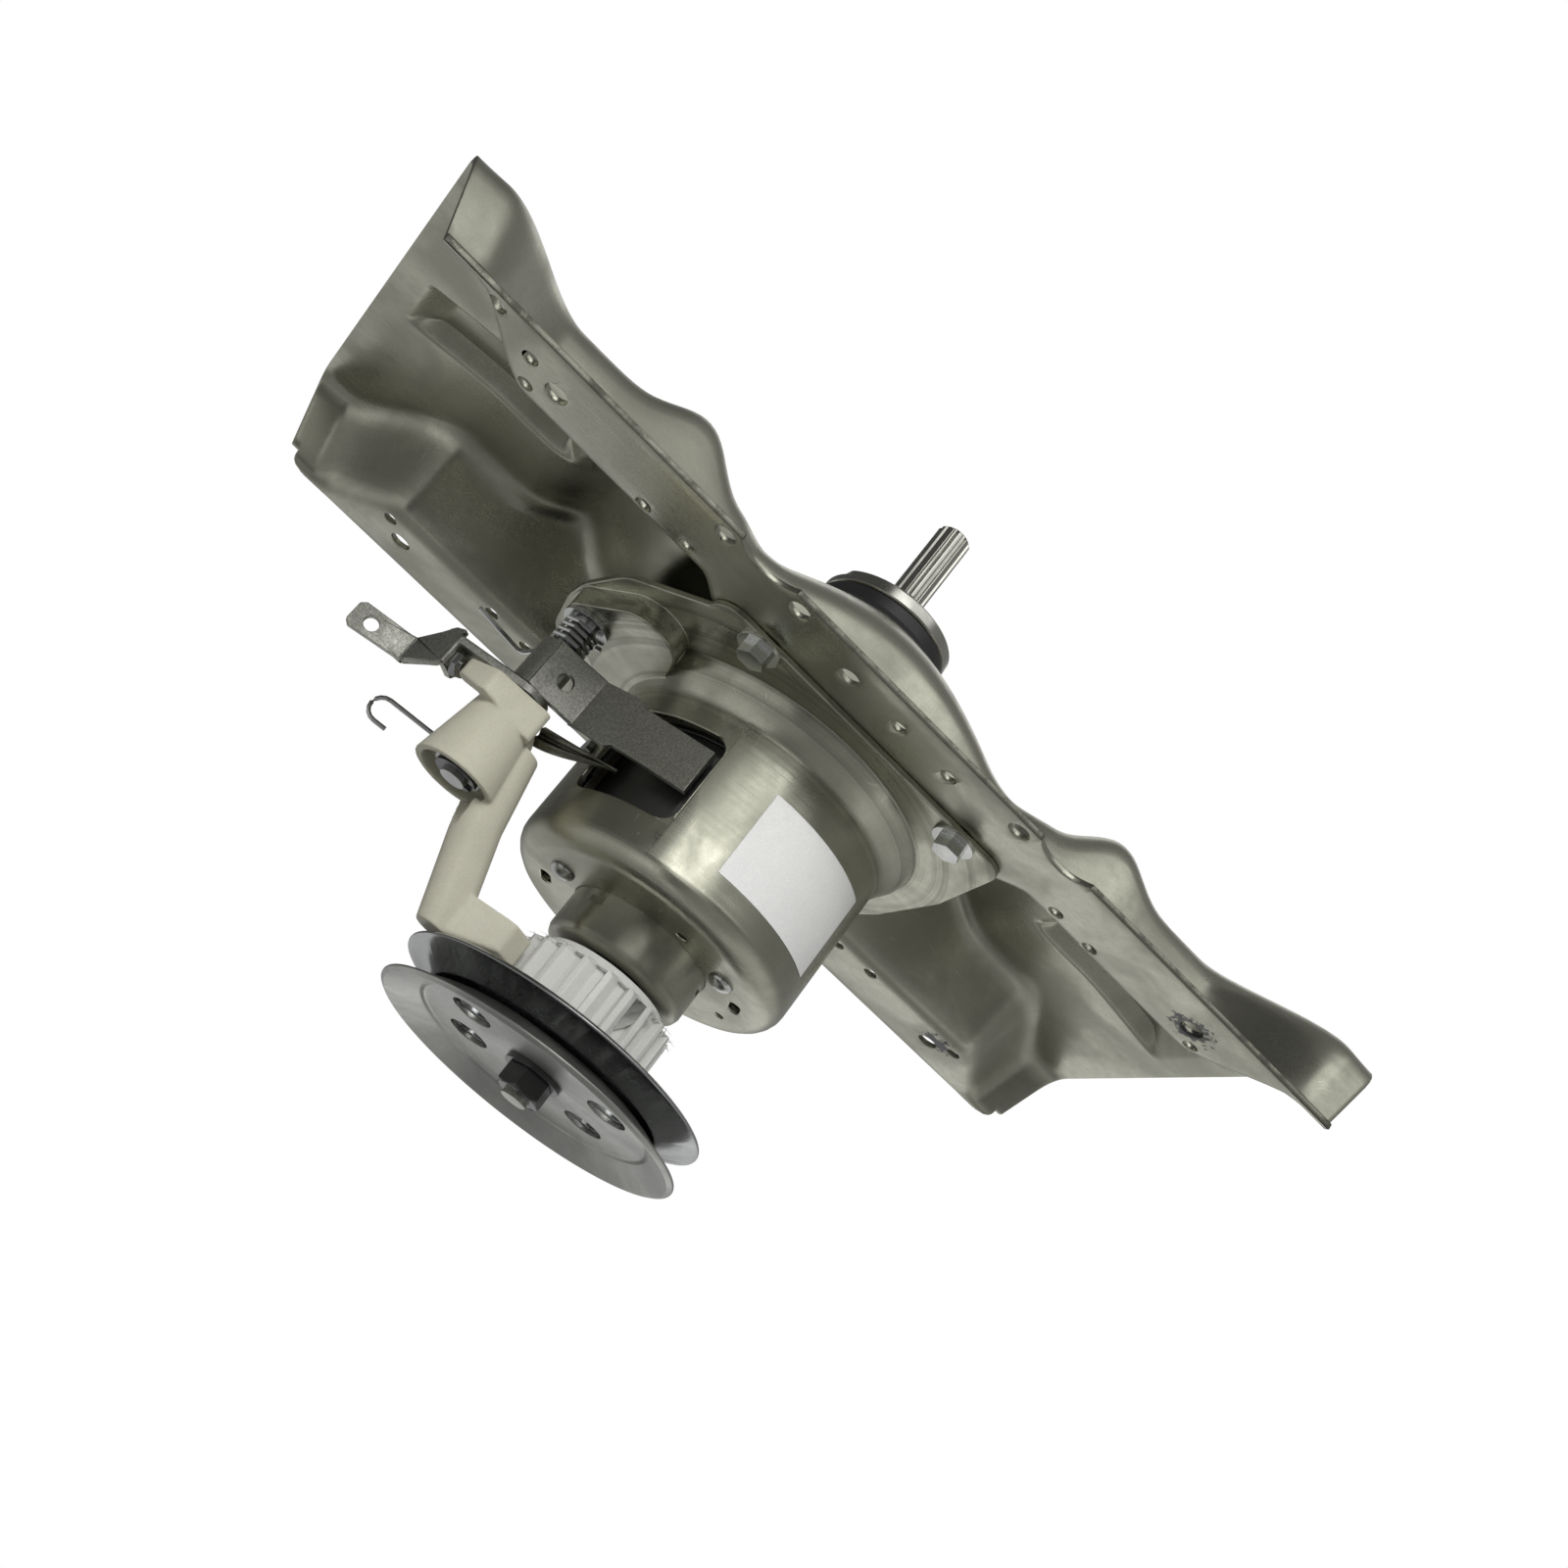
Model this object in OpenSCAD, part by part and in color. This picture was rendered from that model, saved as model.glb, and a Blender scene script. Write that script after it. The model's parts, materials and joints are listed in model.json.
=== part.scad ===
// Washing machine clutch: a planetary reduction clutch with a band brake and a
// ratchet pawl, hung under a pressed steel bracket.
// Origin on the shaft axis in the bracket's mounting plane, +Z up to the splined shaft.

/* [Bracket] */
// Length of the bracket between its feet
bracket_l = 330; // [300:1:380]
// Width over the mounting flanges
bracket_w = 175; // [160:1:200]
// Thickness of the bracket's sheet
bracket_t = 2; // [1.5:0.1:3]
// Height of the top plate beside the dome
plate_z = 28; // [24:0.5:32]
// Rise of the cross ribs above the top plate
rib_rise = 10; // [4:0.5:14]
// Distance of the cross ribs from the shaft
rib_x = 85; // [76:1:95]
// Width of the lengthwise beads at the ends
bead_w = 24; // [16:1:32]
// Height of the lengthwise beads
bead_rise = 6; // [3:0.5:8]
// How far the end edges lean outwards
end_lean = 10; // [4:0.5:12]
// Half width between the side walls at their feet
wall_foot = 57.5; // [55:0.5:62]

/* [Mounting holes] */
// Half spacing of the middle mounting holes along the bracket
mid_hole_x = 41.5; // [38:0.5:46]
// Half spacing of the middle mounting holes across the bracket
mid_hole_y = 82; // [78:0.5:83]
// Diameter of the middle mounting holes
mid_hole_d = 6.5; // [5:0.1:8]
// Half spacing of the end mounting holes along the bracket
end_hole_x = 121.5; // [116:0.5:124]
// Half spacing of the end mounting holes across the bracket
end_hole_y = 72; // [69:0.5:76]
// Diameter of the end mounting holes
end_hole_d = 7; // [5:0.1:9]
// Diameter of the punched tooling holes
punch_d = 4.6; // [3:0.1:6]

/* [Brake housing] */
// Outer radius of the housing cup
cup_r = 45.5; // [45:0.1:47]
// Depth of the cup below the mounting plane
cup_depth = 66; // [64:0.5:68]
// Thickness of the housing's sheet
cup_t = 2; // [1.5:0.1:2.4]
// Upper edge of the lever window
window_top = -20; // [-21:0.5:-18]
// Lower edge of the lever window
window_bottom = -49.5; // [-52:0.5:-48]
// Half spacing of the housing bolts along the bracket
bolt_x = 38; // [36:0.5:41]
// Half spacing of the housing bolts across the bracket
bolt_y = 56; // [55:0.5:57]
// Thread diameter of the housing bolts
bolt_d = 6; // [5:0.5:6.5]

/* [Shafts] */
// Radius of the pulsator shaft
shaft_r = 6; // [5.5:0.1:6.2]
// Top end of the pulsator shaft
shaft_top = 102.3; // [98:0.1:108]
// Lower end of the spline
spline_z = 72; // [70:0.5:76]
// Outer diameter of the spline
spline_d = 11.6; // [11:0.1:11.8]
// Number of spline teeth
spline_teeth = 11; // [9:1:13]
// Outer radius of the hollow drum shaft
tube_r = 12.5; // [12:0.1:13]
// Outer radius of the hub disc
hub_r = 22.7; // [21:0.1:24]
// Height of the hub disc's upper face
hub_top = 63; // [61:0.5:66]
// Thickness of the hub disc
hub_t = 5; // [4:0.5:6]
// Radius of the input shaft
input_r = 5; // [4.6:0.1:5.4]
// Outer radius of the drum's lower sleeve
sleeve_r = 10; // [9.6:0.1:10.4]

/* [Bearings] */
// Outer radius of the upper ball bearing
upper_bearing_r = 23.5; // [22:0.5:24]
// Width of the ball bearings
bearing_w = 12; // [10:0.5:13]
// Underside of the upper ball bearing
upper_bearing_z = 38.5; // [37.5:0.5:38.5]
// Outer radius of the lower ball bearing
lower_bearing_r = 21; // [20:0.5:21.5]
// Underside of the lower ball bearing
lower_bearing_z = -78.5; // [-79:0.1:-78]
// Number of balls in a bearing
ball_count = 10; // [7:1:11]

/* [Gear train] */
// Wall of the ring gear outside its teeth
ring_wall = 3.48; // [3:0.01:4]
// Teeth of the sun gear
sun_teeth = 15; // [15:3:15]
// Teeth of each planet gear
planet_teeth = 24; // [24:3:24]
// Face width of the planet gears
gear_w = 14; // [10:0.5:15]
// Underside of the planet gears
gear_z = -42; // [-43:0.5:-41]
// Backlash of a gear mesh
gear_play = 0.2; // [0.15:0.01:0.3]
// Radius of the planet pins
planet_pin_r = 3; // [2.5:0.1:3.5]

/* [Brake] */
// Room between the brake band and the housing
band_room = 2.4; // [2:0.1:2.8]
// Wall of the brake drum
drum_t = 1.8; // [1.5:0.1:2]
// Width of the brake band
band_w = 24; // [20:0.5:25]
// Thickness of the friction lining
lining_t = 2; // [1.5:0.1:2.2]
// Thickness of the steel band
band_t = 0.8; // [0.6:0.1:1]

/* [Ratchet clutch] */
// Tip radius of the ratchet teeth
ratchet_r = 24.5; // [23.5:0.1:25]
// Depth of the ratchet teeth
ratchet_tooth = 2.4; // [1.8:0.1:3]
// Number of ratchet teeth
ratchet_teeth = 20; // [16:1:24]
// Upper face of the ratchet sleeve
ratchet_top = -82; // [-82.5:0.1:-81.5]
// Lower face of the ratchet sleeve
ratchet_bottom = -103; // [-103.5:0.1:-102]
// Wire diameter of the clutch spring
clutch_wire = 1.6; // [1.2:0.1:1.7]

/* [Pulley] */
// Rim radius of the belt pulley
pulley_r = 49.35; // [45:0.05:52]
// Plane of the pulley's upper rim
pulley_top = -105.8; // [-107:0.1:-105]
// Plane of the pulley's lower rim
pulley_bottom = -118; // [-120:0.1:-117]
// Radius at the bottom of the belt groove
groove_r = 38; // [34:0.5:40]
// Thickness of the pulley sheet
pulley_t = 1.6; // [1.2:0.1:1.8]
// Diameter of the pulley's web holes
web_hole_d = 12.5; // [8:0.5:13]
// Width across the flats of the pulley nut
nut_af = 13; // [12:0.5:14]
// Lower end of the input shaft
input_bottom = -123.3; // [-126:0.1:-122]

/* [Lever and pawl] */
// Thickness of the lever's sheet
lever_t = 2.2; // [1.8:0.1:2.4]
// Upper edge of the lever
lever_top = -21; // [-21.5:0.1:-20.8]
// Lower edge of the lever
lever_bottom = -37.5; // [-38:0.1:-37]
// Outer radius of the lever's roll round the pin
roll_r = 6.5; // [6.3:0.1:6.8]
// Radius of the pivot pin
pin_r = 4; // [3.6:0.1:4.2]
// Outer radius of the pawl's boss
boss_r = 13; // [12:0.1:13.4]
// Upper face of the pawl
boss_top = -40.5; // [-41:0.1:-40.2]
// Lower face of the pawl's boss
boss_bottom = -69.5; // [-71:0.1:-68]
// Diameter of the hole for the pull cable
pull_hole_d = 4.5; // [4:0.1:5]
// Wire diameter of the pawl spring
pawl_wire = 1.4; // [1.2:0.1:1.5]
// Curls of the pawl spring
pawl_curls = 8; // [6:1:8]
// Wire diameter of the lever spring
lever_wire = 1.4; // [1.2:0.1:1.5]
// Curls of the lever spring
lever_curls = 4; // [3:1:4]

/* [Clearances] */
// Radial running clearance of a shaft in its bush
run_play = 0.04; // [0.02:0.01:0.08]
// Gap between pieces that move past each other
part_gap = 0.3; // [0.3:0.05:0.5]

/* [Hidden] */
$fn = 64;

// Curves shared by several pieces
function smooth(a, b, x) = let (t = min(1, max(0, (x - a) / (b - a)))) t * t * (3 - 2 * t);
function hump(x, centre, half) = exp(-pow((x - centre) / half, 2));
function softmax(a, b, k) = (a + b + sqrt(pow(a - b, 2) + k * k)) / 2;
function bezier(p, q, r, t) = (1 - t) * (1 - t) * p + 2 * t * (1 - t) * q + t * t * r;
function unit(v) = v / norm(v);
function polar(r, a) = [r * cos(a), r * sin(a)];

// Bracket: the middle surface is a grid of cross sections along X
half_w = bracket_w / 2;
half_l = bracket_l / 2;
middle_foot = wall_foot - 11.5;
end_foot = half_w - 2.5;
wall_draft = 8;
flare_from = half_l - 39;
flare_to = half_l - 9;
foot_bend = 5;
crest_bend = 8;
dome_top = upper_bearing_z + bearing_w;
dome_r = 25.5;
dome_foot_r = 60;
ceiling_steps = 10;
bracket_stations = 50;

function foot_y(x) = middle_foot + (wall_foot - middle_foot) * smooth(50, 64, abs(x))
  + (end_foot - wall_foot) * smooth(flare_from, flare_to, abs(x));
function crest_y(x) = foot_y(x) - wall_draft * (1 - 0.5 * smooth(flare_from, flare_to, abs(x)))
  + 6.5 * (1 - smooth(50, 64, abs(x)));
function plate_height(x) = plate_z - bracket_t / 2
  + rib_rise * hump(abs(x), rib_x, 13)
  + 5 * smooth(60, 100, abs(x)) - 4 * smooth(flare_from, half_l, abs(x));
function bead(x, y) = bead_rise * smooth(rib_x + 17, rib_x + 24, abs(x))
  * (1 - smooth(half_l - 18, half_l - 8, abs(x)))
  * (1 - smooth(bead_w / 2 - 2, bead_w / 2 + 2, abs(y)));
function dome_height(r) = let (u = (r - dome_r) / (dome_foot_r - dome_r))
  dome_top - bracket_t / 2 - (dome_top - plate_z) * u * (0.9 + 0.1 * u);
function ceiling_z(x, y) =
  softmax(plate_height(x) + bead(x, y), dome_height(max(dome_r - 4, norm([x, y]))), 2);

// Half a cross section, from the flange's outer edge to the centre line
function half_section(x) =
  let (
    foot = [foot_y(x), 0],
    crest = [crest_y(x), ceiling_z(x, crest_y(x)) - bracket_t / 2],
    up = unit(crest - foot),
    fb = min(foot_bend, 0.8 * (half_w - foot[0])),
    flat_y = crest[0] - crest_bend,
    flat = [flat_y, ceiling_z(x, flat_y) - bracket_t / 2],
    w0 = foot + fb * up,
    w1 = crest - crest_bend * up
  )
  concat(
    [[half_w, 0], (foot + [fb, 0] + [half_w, 0]) / 2, foot + [fb, 0]],
    [bezier(foot + [fb, 0], foot, w0, 0.5), w0, w1],
    [for (t = [0.33, 0.67]) bezier(w1, crest, flat, t)],
    [for (k = [0:ceiling_steps]) let (y = flat_y * (1 - k / ceiling_steps))
      [y, ceiling_z(x, y) - bracket_t / 2]]
  );
function full_section(x) =
  let (h = half_section(x), n = len(h))
  concat(h, [for (k = [n - 2:-1:0]) [-h[k][0], h[k][1]]]);
function lean(x, z) = x + sign(x) * end_lean * (z / plate_z) * smooth(half_l - 45, half_l, abs(x));
function bracket_grid() = [for (i = [0:bracket_stations])
  let (x = -half_l + 2 * half_l * i / bracket_stations)
  [for (p = full_section(x)) [lean(x, p[1]), p[0], p[1] + bracket_t / 2]]];
function grid_normal(g, i, j) =
  let (
    a = g[min(i + 1, len(g) - 1)][j] - g[max(i - 1, 0)][j],
    b = g[i][min(j + 1, len(g[0]) - 1)] - g[i][max(j - 1, 0)]
  )
  unit(cross(b, a));

// A sheet of even thickness on both sides of a grid of points
module sheet_from_grid(g, t) {
  rows = len(g);
  cols = len(g[0]);
  upper = [for (i = [0:rows - 1], j = [0:cols - 1]) g[i][j] + grid_normal(g, i, j) * t / 2];
  lower = [for (i = [0:rows - 1], j = [0:cols - 1]) g[i][j] - grid_normal(g, i, j) * t / 2];
  n = rows * cols;
  function at(i, j) = i * cols + j;
  faces = concat(
    [for (i = [0:rows - 2], j = [0:cols - 2]) each [
      [at(i, j), at(i, j + 1), at(i + 1, j + 1)],
      [at(i, j), at(i + 1, j + 1), at(i + 1, j)],
      [n + at(i, j), n + at(i + 1, j + 1), n + at(i, j + 1)],
      [n + at(i, j), n + at(i + 1, j), n + at(i + 1, j + 1)]]],
    [for (i = [0:rows - 2]) each [
      [at(i, 0), at(i + 1, 0), n + at(i + 1, 0)],
      [at(i, 0), n + at(i + 1, 0), n + at(i, 0)],
      [at(i + 1, cols - 1), at(i, cols - 1), n + at(i, cols - 1)],
      [at(i + 1, cols - 1), n + at(i, cols - 1), n + at(i + 1, cols - 1)]]],
    [for (j = [0:cols - 2]) each [
      [at(0, j + 1), at(0, j), n + at(0, j)],
      [at(0, j + 1), n + at(0, j), n + at(0, j + 1)],
      [at(rows - 1, j), at(rows - 1, j + 1), n + at(rows - 1, j + 1)],
      [at(rows - 1, j), n + at(rows - 1, j + 1), n + at(rows - 1, j)]]]
  );
  polyhedron(points = concat(upper, lower), faces = faces, convexity = 12);
}

function four_corners(x, y) = [for (sx = [-1, 1], sy = [-1, 1]) [sx * x, sy * y]];
// Punched tooling holes, mirrored to all four quarters
punch_places = [[19, 75.5], [mid_hole_x + 30, 64], [mid_hole_x + 45, 62.8], [end_hole_x + 7, 64]];
notch_depth = 5;
corner_r = 9;
upper_cup_r = upper_bearing_r + 2;

module mounting_bracket() {
  color("silver") difference() {
    sheet_from_grid(bracket_grid(), bracket_t);
    cylinder(r = upper_cup_r + 0.02, h = 2 * dome_top);
    for (p = four_corners(mid_hole_x, mid_hole_y))
      translate([p[0], p[1], -1]) cylinder(d = mid_hole_d, h = 8);
    for (p = four_corners(end_hole_x, end_hole_y))
      translate([p[0], p[1], -1]) cylinder(d = end_hole_d, h = 8);
    for (q = punch_places, p = four_corners(q[0], q[1]))
      translate([p[0], p[1], -1]) cylinder(d = punch_d, h = 6);
    for (y = [-75.5, 75.5]) translate([0, y, -1]) cylinder(d = punch_d, h = 6);
    for (p = four_corners(bolt_x, bolt_y))
      translate([p[0], p[1], -1]) cylinder(d = bolt_d + 0.6, h = 6);
    // Shallow bites in the flange's outer edge
    for (x = [-mid_hole_x - 14, mid_hole_x + 14], s = [-1, 1])
      translate([x, s * (half_w + 12 - notch_depth), -1]) cylinder(r = 12, h = 6);
    // Rounded corners of the far flange
    for (s = [-1, 1]) translate([s * (half_l - corner_r), half_w - corner_r, -1])
      scale([s, 1, 1]) linear_extrude(6) difference() {
        square(corner_r + 2);
        circle(r = corner_r);
      }
  }
}

// Upper bearing housing: a turned cup pressed into the dome
module upper_bearing_housing() {
  floor_z = upper_bearing_z - 2;
  color("gainsboro") rotate_extrude() polygon([
    [upper_bearing_r - 2.5, floor_z], [upper_cup_r - 0.6, floor_z], [upper_cup_r, floor_z + 0.6],
    [upper_cup_r, dome_top + 0.2], [upper_cup_r - 0.6, dome_top + 0.8],
    [upper_bearing_r + 0.5, dome_top + 0.8], [upper_bearing_r, dome_top + 0.3],
    [upper_bearing_r, upper_bearing_z], [upper_bearing_r - 2.5, upper_bearing_z]
  ]);
}

// Brake housing: a drawn cup under a pressed plate with a lobe for the pivots
pivot = [-70, -5];
lobe_drop = 9;
cup_corner = 7;
shoulder_r = cup_r + 6.5;
window_from = -168;
window_to = -121;
cap_r = lower_bearing_r + 1.5;
cap_screw_ring = cap_r + 7;
cap_flange_r = cap_screw_ring + 5;
cap_screw_angles = [180, -47, 66.5];
bolt_head_h = 5;

// Outer skin of the cup, as a profile that is revolved
module cup_profile(inset) {
  r = cup_r - inset;
  d = cup_depth - inset;
  k = cup_corner - inset;
  polygon(concat(
    [[0, inset], [shoulder_r - inset * 1.6, inset], [shoulder_r - inset * 1.6, -1],
     [shoulder_r - 1.5 - inset, -5], [r + 2, -9], [r, -13]],
    [for (a = [0:-15:-90]) [r - k + k * cos(a), -d + k + k * sin(a)]],
    [[0, -d]]
  ));
}
module plate_outline() {
  hull() {
    for (p = four_corners(bolt_x + 9, bolt_y - 3)) translate(p) circle(r = 8, $fn = 32);
    for (y = [-18, 18]) translate([bolt_x + 14, y]) circle(r = 8, $fn = 32);
  }
  hull() {
    for (s = [-1, 1]) {
      translate([-bolt_x - 6, s * (bolt_y - 10)]) circle(r = 12.5, $fn = 32);
      translate([-57, s * 21]) circle(r = 18, $fn = 32);
      translate([-60, s * 4]) circle(r = 18.5, $fn = 32);
    }
  }
}
// The lobe hangs below the plate as a shallow pressed boss
module lobe_outline(grow) {
  hull() {
    translate([pivot[0] + 2.5, pivot[1]]) circle(r = 10 + grow, $fn = 32);
    translate([-58, -22]) circle(r = 11 + grow, $fn = 32);
    translate([-48, 12]) circle(r = 10 + grow, $fn = 32);
  }
}
module window_cut(grow) {
  translate([0, 0, window_bottom - grow])
    linear_extrude(window_top - window_bottom + 2 * grow)
      polygon(concat([[0, 0]], [for (k = [0:4])
        polar(80, window_from + (window_to - window_from) * k / 4)]));
}
module brake_housing() {
  color("silver") difference() {
    union() {
      rotate_extrude() cup_profile(0);
      translate([0, 0, -cup_t]) linear_extrude(cup_t) plate_outline();
      translate([0, 0, -lobe_drop]) linear_extrude(lobe_drop) lobe_outline(0);
    }
    translate([0, 0, 0.01]) rotate_extrude() cup_profile(cup_t);
    translate([0, 0, -cup_t]) cylinder(r = cup_r - cup_t, h = 2 * cup_t);
    translate([0, 0, -lobe_drop + cup_t]) linear_extrude(lobe_drop) lobe_outline(-cup_t);
    // Bore for the bearing cap and the cap's fasteners
    translate([0, 0, -cup_depth - 1]) cylinder(r = cap_r + 0.02, h = 6);
    for (a = cap_screw_angles)
      translate(concat(polar(cap_screw_ring, a), -cup_depth - 1)) cylinder(r = 2.2, h = 6);
    for (a = [152, -22]) rotate(a) translate([33, 0, -cup_depth - 1])
      linear_extrude(6) hull() for (s = [-1, 1]) translate([0, 2 * s]) circle(r = 1.7, $fn = 32);
    rotate(-86) translate([27, 0, -cup_depth - 1]) cylinder(r = 1.8, h = 6);
    rotate(3) translate([33, 0, -cup_depth - 1]) cylinder(r = 1.4, h = 6);
    window_cut(0);
    rotate(anchor_angle) translate([0, 0, band_z]) rotate([0, 90, 0]) cylinder(r = anchor_r, h = 60);
    for (p = four_corners(bolt_x, bolt_y))
      translate([p[0], p[1], -cup_t - 1]) cylinder(d = bolt_d + 0.6, h = cup_t + 2);
    translate([pivot[0], pivot[1], -lobe_drop - 1]) cylinder(r = pin_r - 1, h = lobe_drop + 2);
  }
}

// Fasteners
module hex(af, h) { cylinder(d = af / cos(30), h = h, $fn = 6); }
module housing_bolts() {
  color("lightsteelblue") for (p = four_corners(bolt_x, bolt_y))
    translate([p[0], p[1], -cup_t]) {
      translate([0, 0, -1.2]) cylinder(r = 6.6, h = 1.2);
      translate([0, 0, -bolt_head_h]) hex(8, bolt_head_h - 1);
      translate([0, 0, -1]) cylinder(d = bolt_d, h = 14);
    }
}
module weld_nuts() {
  color("lightsteelblue") for (p = four_corners(bolt_x, bolt_y))
    translate([p[0], p[1], bracket_t]) difference() {
      hex(9, 5);
      translate([0, 0, -1]) cylinder(d = bolt_d, h = 8);
    }
}

// Bearing cap: a drawn cup through the housing's floor, with its flange inside
cap_lip_r = 14.5;
cap_bottom = lower_bearing_z - 1.5;
cap_flange_z = -cup_depth + cup_t + 0.02;
module bearing_cap() {
  color("silver") difference() {
    rotate_extrude() polygon([
      [cap_lip_r, cap_bottom], [cap_r - 2.5, cap_bottom], [cap_r - 0.7, cap_bottom + 0.7],
      [cap_r, cap_bottom + 2.5], [cap_r, cap_flange_z], [cap_flange_r, cap_flange_z],
      [cap_flange_r, cap_flange_z + 1.5], [lower_bearing_r, cap_flange_z + 1.5],
      [lower_bearing_r, lower_bearing_z], [cap_lip_r, lower_bearing_z]
    ]);
    for (a = cap_screw_angles)
      translate(concat(polar(cap_screw_ring, a), cap_flange_z - 1)) cylinder(r = 2, h = 4);
    // Staking notches under the floor
    for (a = [-150, -30, 90]) rotate(a)
      translate([cap_r, 0, -cup_depth - 3]) cube([1.2, 5, 2], center = true);
  }
}
module cap_screws() {
  color("lightsteelblue") for (a = cap_screw_angles)
    translate(concat(polar(cap_screw_ring, a), -cup_depth)) {
      rotate_extrude() polygon(concat([[0, 0]],
        [for (k = [0:5]) [4 * cos(18 * k), -2.4 * sin(18 * k)]]));
      cylinder(r = 2, h = 6.5);
    }
}

// Ball bearings
module bearing_ring(r_out, r_in, z, groove, ball_r) {
  translate([0, 0, z]) difference() {
    rotate_extrude() polygon([
      [r_in + 0.4, 0], [r_out - 0.4, 0], [r_out, 0.4], [r_out, bearing_w - 0.4],
      [r_out - 0.4, bearing_w], [r_in + 0.4, bearing_w], [r_in, bearing_w - 0.4], [r_in, 0.4]
    ]);
    translate([0, 0, bearing_w / 2]) rotate_extrude()
      translate([groove, 0]) circle(r = ball_r, $fn = 32);
  }
}
upper_ball_r = (upper_bearing_r - tube_r) * 0.29;
lower_ball_r = (lower_bearing_r - sleeve_r) * 0.29;
upper_pitch_r = (upper_bearing_r + tube_r) / 2;
lower_pitch_r = (lower_bearing_r + sleeve_r) / 2;
ball_play = 0.04;
module upper_bearing_outer() {
  color("dimgray") bearing_ring(upper_bearing_r, upper_pitch_r + 0.55 * upper_ball_r,
    upper_bearing_z, upper_pitch_r, upper_ball_r + ball_play);
}
module upper_bearing_inner() {
  color("dimgray") bearing_ring(upper_pitch_r - 0.55 * upper_ball_r, tube_r,
    upper_bearing_z, upper_pitch_r, upper_ball_r + ball_play);
}
module lower_bearing_outer() {
  color("dimgray") bearing_ring(lower_bearing_r, lower_pitch_r + 0.55 * lower_ball_r,
    lower_bearing_z, lower_pitch_r, lower_ball_r + ball_play);
}
module lower_bearing_inner() {
  color("dimgray") bearing_ring(lower_pitch_r - 0.55 * lower_ball_r, sleeve_r,
    lower_bearing_z, lower_pitch_r, lower_ball_r + ball_play);
}
// The balls with the cage ring that keeps them apart
module ball_set(pitch_r, ball_r, z) {
  translate([0, 0, z + bearing_w / 2]) {
    for (k = [1:ball_count]) rotate(k * 360 / ball_count)
      translate([pitch_r, 0, 0]) sphere(r = ball_r, $fn = 24);
    rotate_extrude() translate([pitch_r - 0.6, -0.6]) square([1.2, 1.2]);
  }
}
module upper_bearing_balls() { color("lightgray") ball_set(upper_pitch_r, upper_ball_r, upper_bearing_z); }
module lower_bearing_balls() { color("lightgray") ball_set(lower_pitch_r, lower_ball_r, lower_bearing_z); }

// Water seal: a rubber lip ring on the bearing, under the hub disc
hub_bottom = hub_top - hub_t;
module water_seal() {
  seat = upper_bearing_z + bearing_w;
  color("dimgray") rotate_extrude() polygon([
    [tube_r + part_gap, seat + 2], [tube_r + 3, seat + 0.85], [upper_cup_r - 0.6, seat + 0.85],
    [upper_cup_r - 1.6, seat + 2], [hub_r + 0.4, seat + 3], [hub_r + 0.2, hub_bottom - part_gap],
    [hub_r - 3, hub_bottom - part_gap], [hub_r - 4, seat + 4], [tube_r + 3, seat + 3.5]
  ]);
}

// Brake band, lining and its anchor at the window
band_z = -35.5;
band_r = cup_r - cup_t - band_room - band_t;
lining_r = band_r - lining_t;
band_gap_from = window_to - 4;
band_gap_to = window_from - 6;
anchor_angle = band_gap_to - 6;
anchor_r = 2;
module band_ring(r0, r1, w) {
  difference() {
    translate([0, 0, band_z - w / 2]) rotate([0, 0, band_gap_from])
      rotate_extrude(angle = 360 - (band_gap_from - band_gap_to)) translate([r0, 0]) square([r1 - r0, w]);
  }
}
module brake_lining() { color("darkolivegreen") band_ring(lining_r, lining_r + lining_t, band_w); }
module brake_band() {
  color("slategray") difference() {
    union() {
      band_ring(band_r, band_r + band_t, band_w);
      // Eye for the anchor screw at the fixed end
      rotate(anchor_angle) translate([band_r + 0.2, -5, band_z - 6]) cube([1.2, 10, 12]);
    }
    rotate(anchor_angle) translate([band_r - 1, 0, band_z]) rotate([0, 90, 0])
      cylinder(r = anchor_r, h = 5);
  }
}
// Screw through the cup's wall that holds the band's fixed end
module band_anchor() {
  color("lightsteelblue") rotate(anchor_angle) translate([0, 0, band_z]) rotate([0, 90, 0]) {
    translate([0, 0, band_r + 0.3]) cylinder(r = anchor_r, h = cup_r - band_r + 1);
    translate([0, 0, cup_r + 0.02]) cylinder(r = 3.6, h = 2);
  }
}

// Spin drum: hollow shaft, cover, brake drum with the ring gear
tube_bottom = -17;
cover_z = tube_bottom + 1;
tube_bore = shaft_r + 2.5;
module drum_shaft() {
  color("gainsboro") difference() {
    union() {
      translate([0, 0, tube_bottom]) cylinder(r = tube_r, h = hub_bottom - tube_bottom + 1);
      translate([0, 0, hub_bottom]) rotate_extrude() polygon([
        [0, 0], [hub_r - 0.8, 0], [hub_r, 0.8], [hub_r, hub_t - 0.6], [hub_r - 0.6, hub_t], [0, hub_t]
      ]);
    }
    translate([0, 0, tube_bottom - 1]) cylinder(r = tube_bore, h = hub_top - tube_bottom + 3);
    // Flats that drive the wash tub
    for (s = [-1, 1]) translate([s * (hub_r + 8.2), 0, hub_top]) cube([20, 60, 4], center = true);
  }
}
drum_top = -19;
drum_bottom = -53;
drum_r = lining_r - part_gap;
ring_r = drum_r - drum_t - 0.02;
ring_teeth = sun_teeth + 2 * planet_teeth;
gear_m = (ring_r - ring_wall) / (ring_teeth / 2 + 1.2);
function pitch_r(n) = n * gear_m / 2;
ring_root = pitch_r(ring_teeth) + 1.2 * gear_m;
cover_screw_ring = (ring_r + ring_root) / 2;
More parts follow.
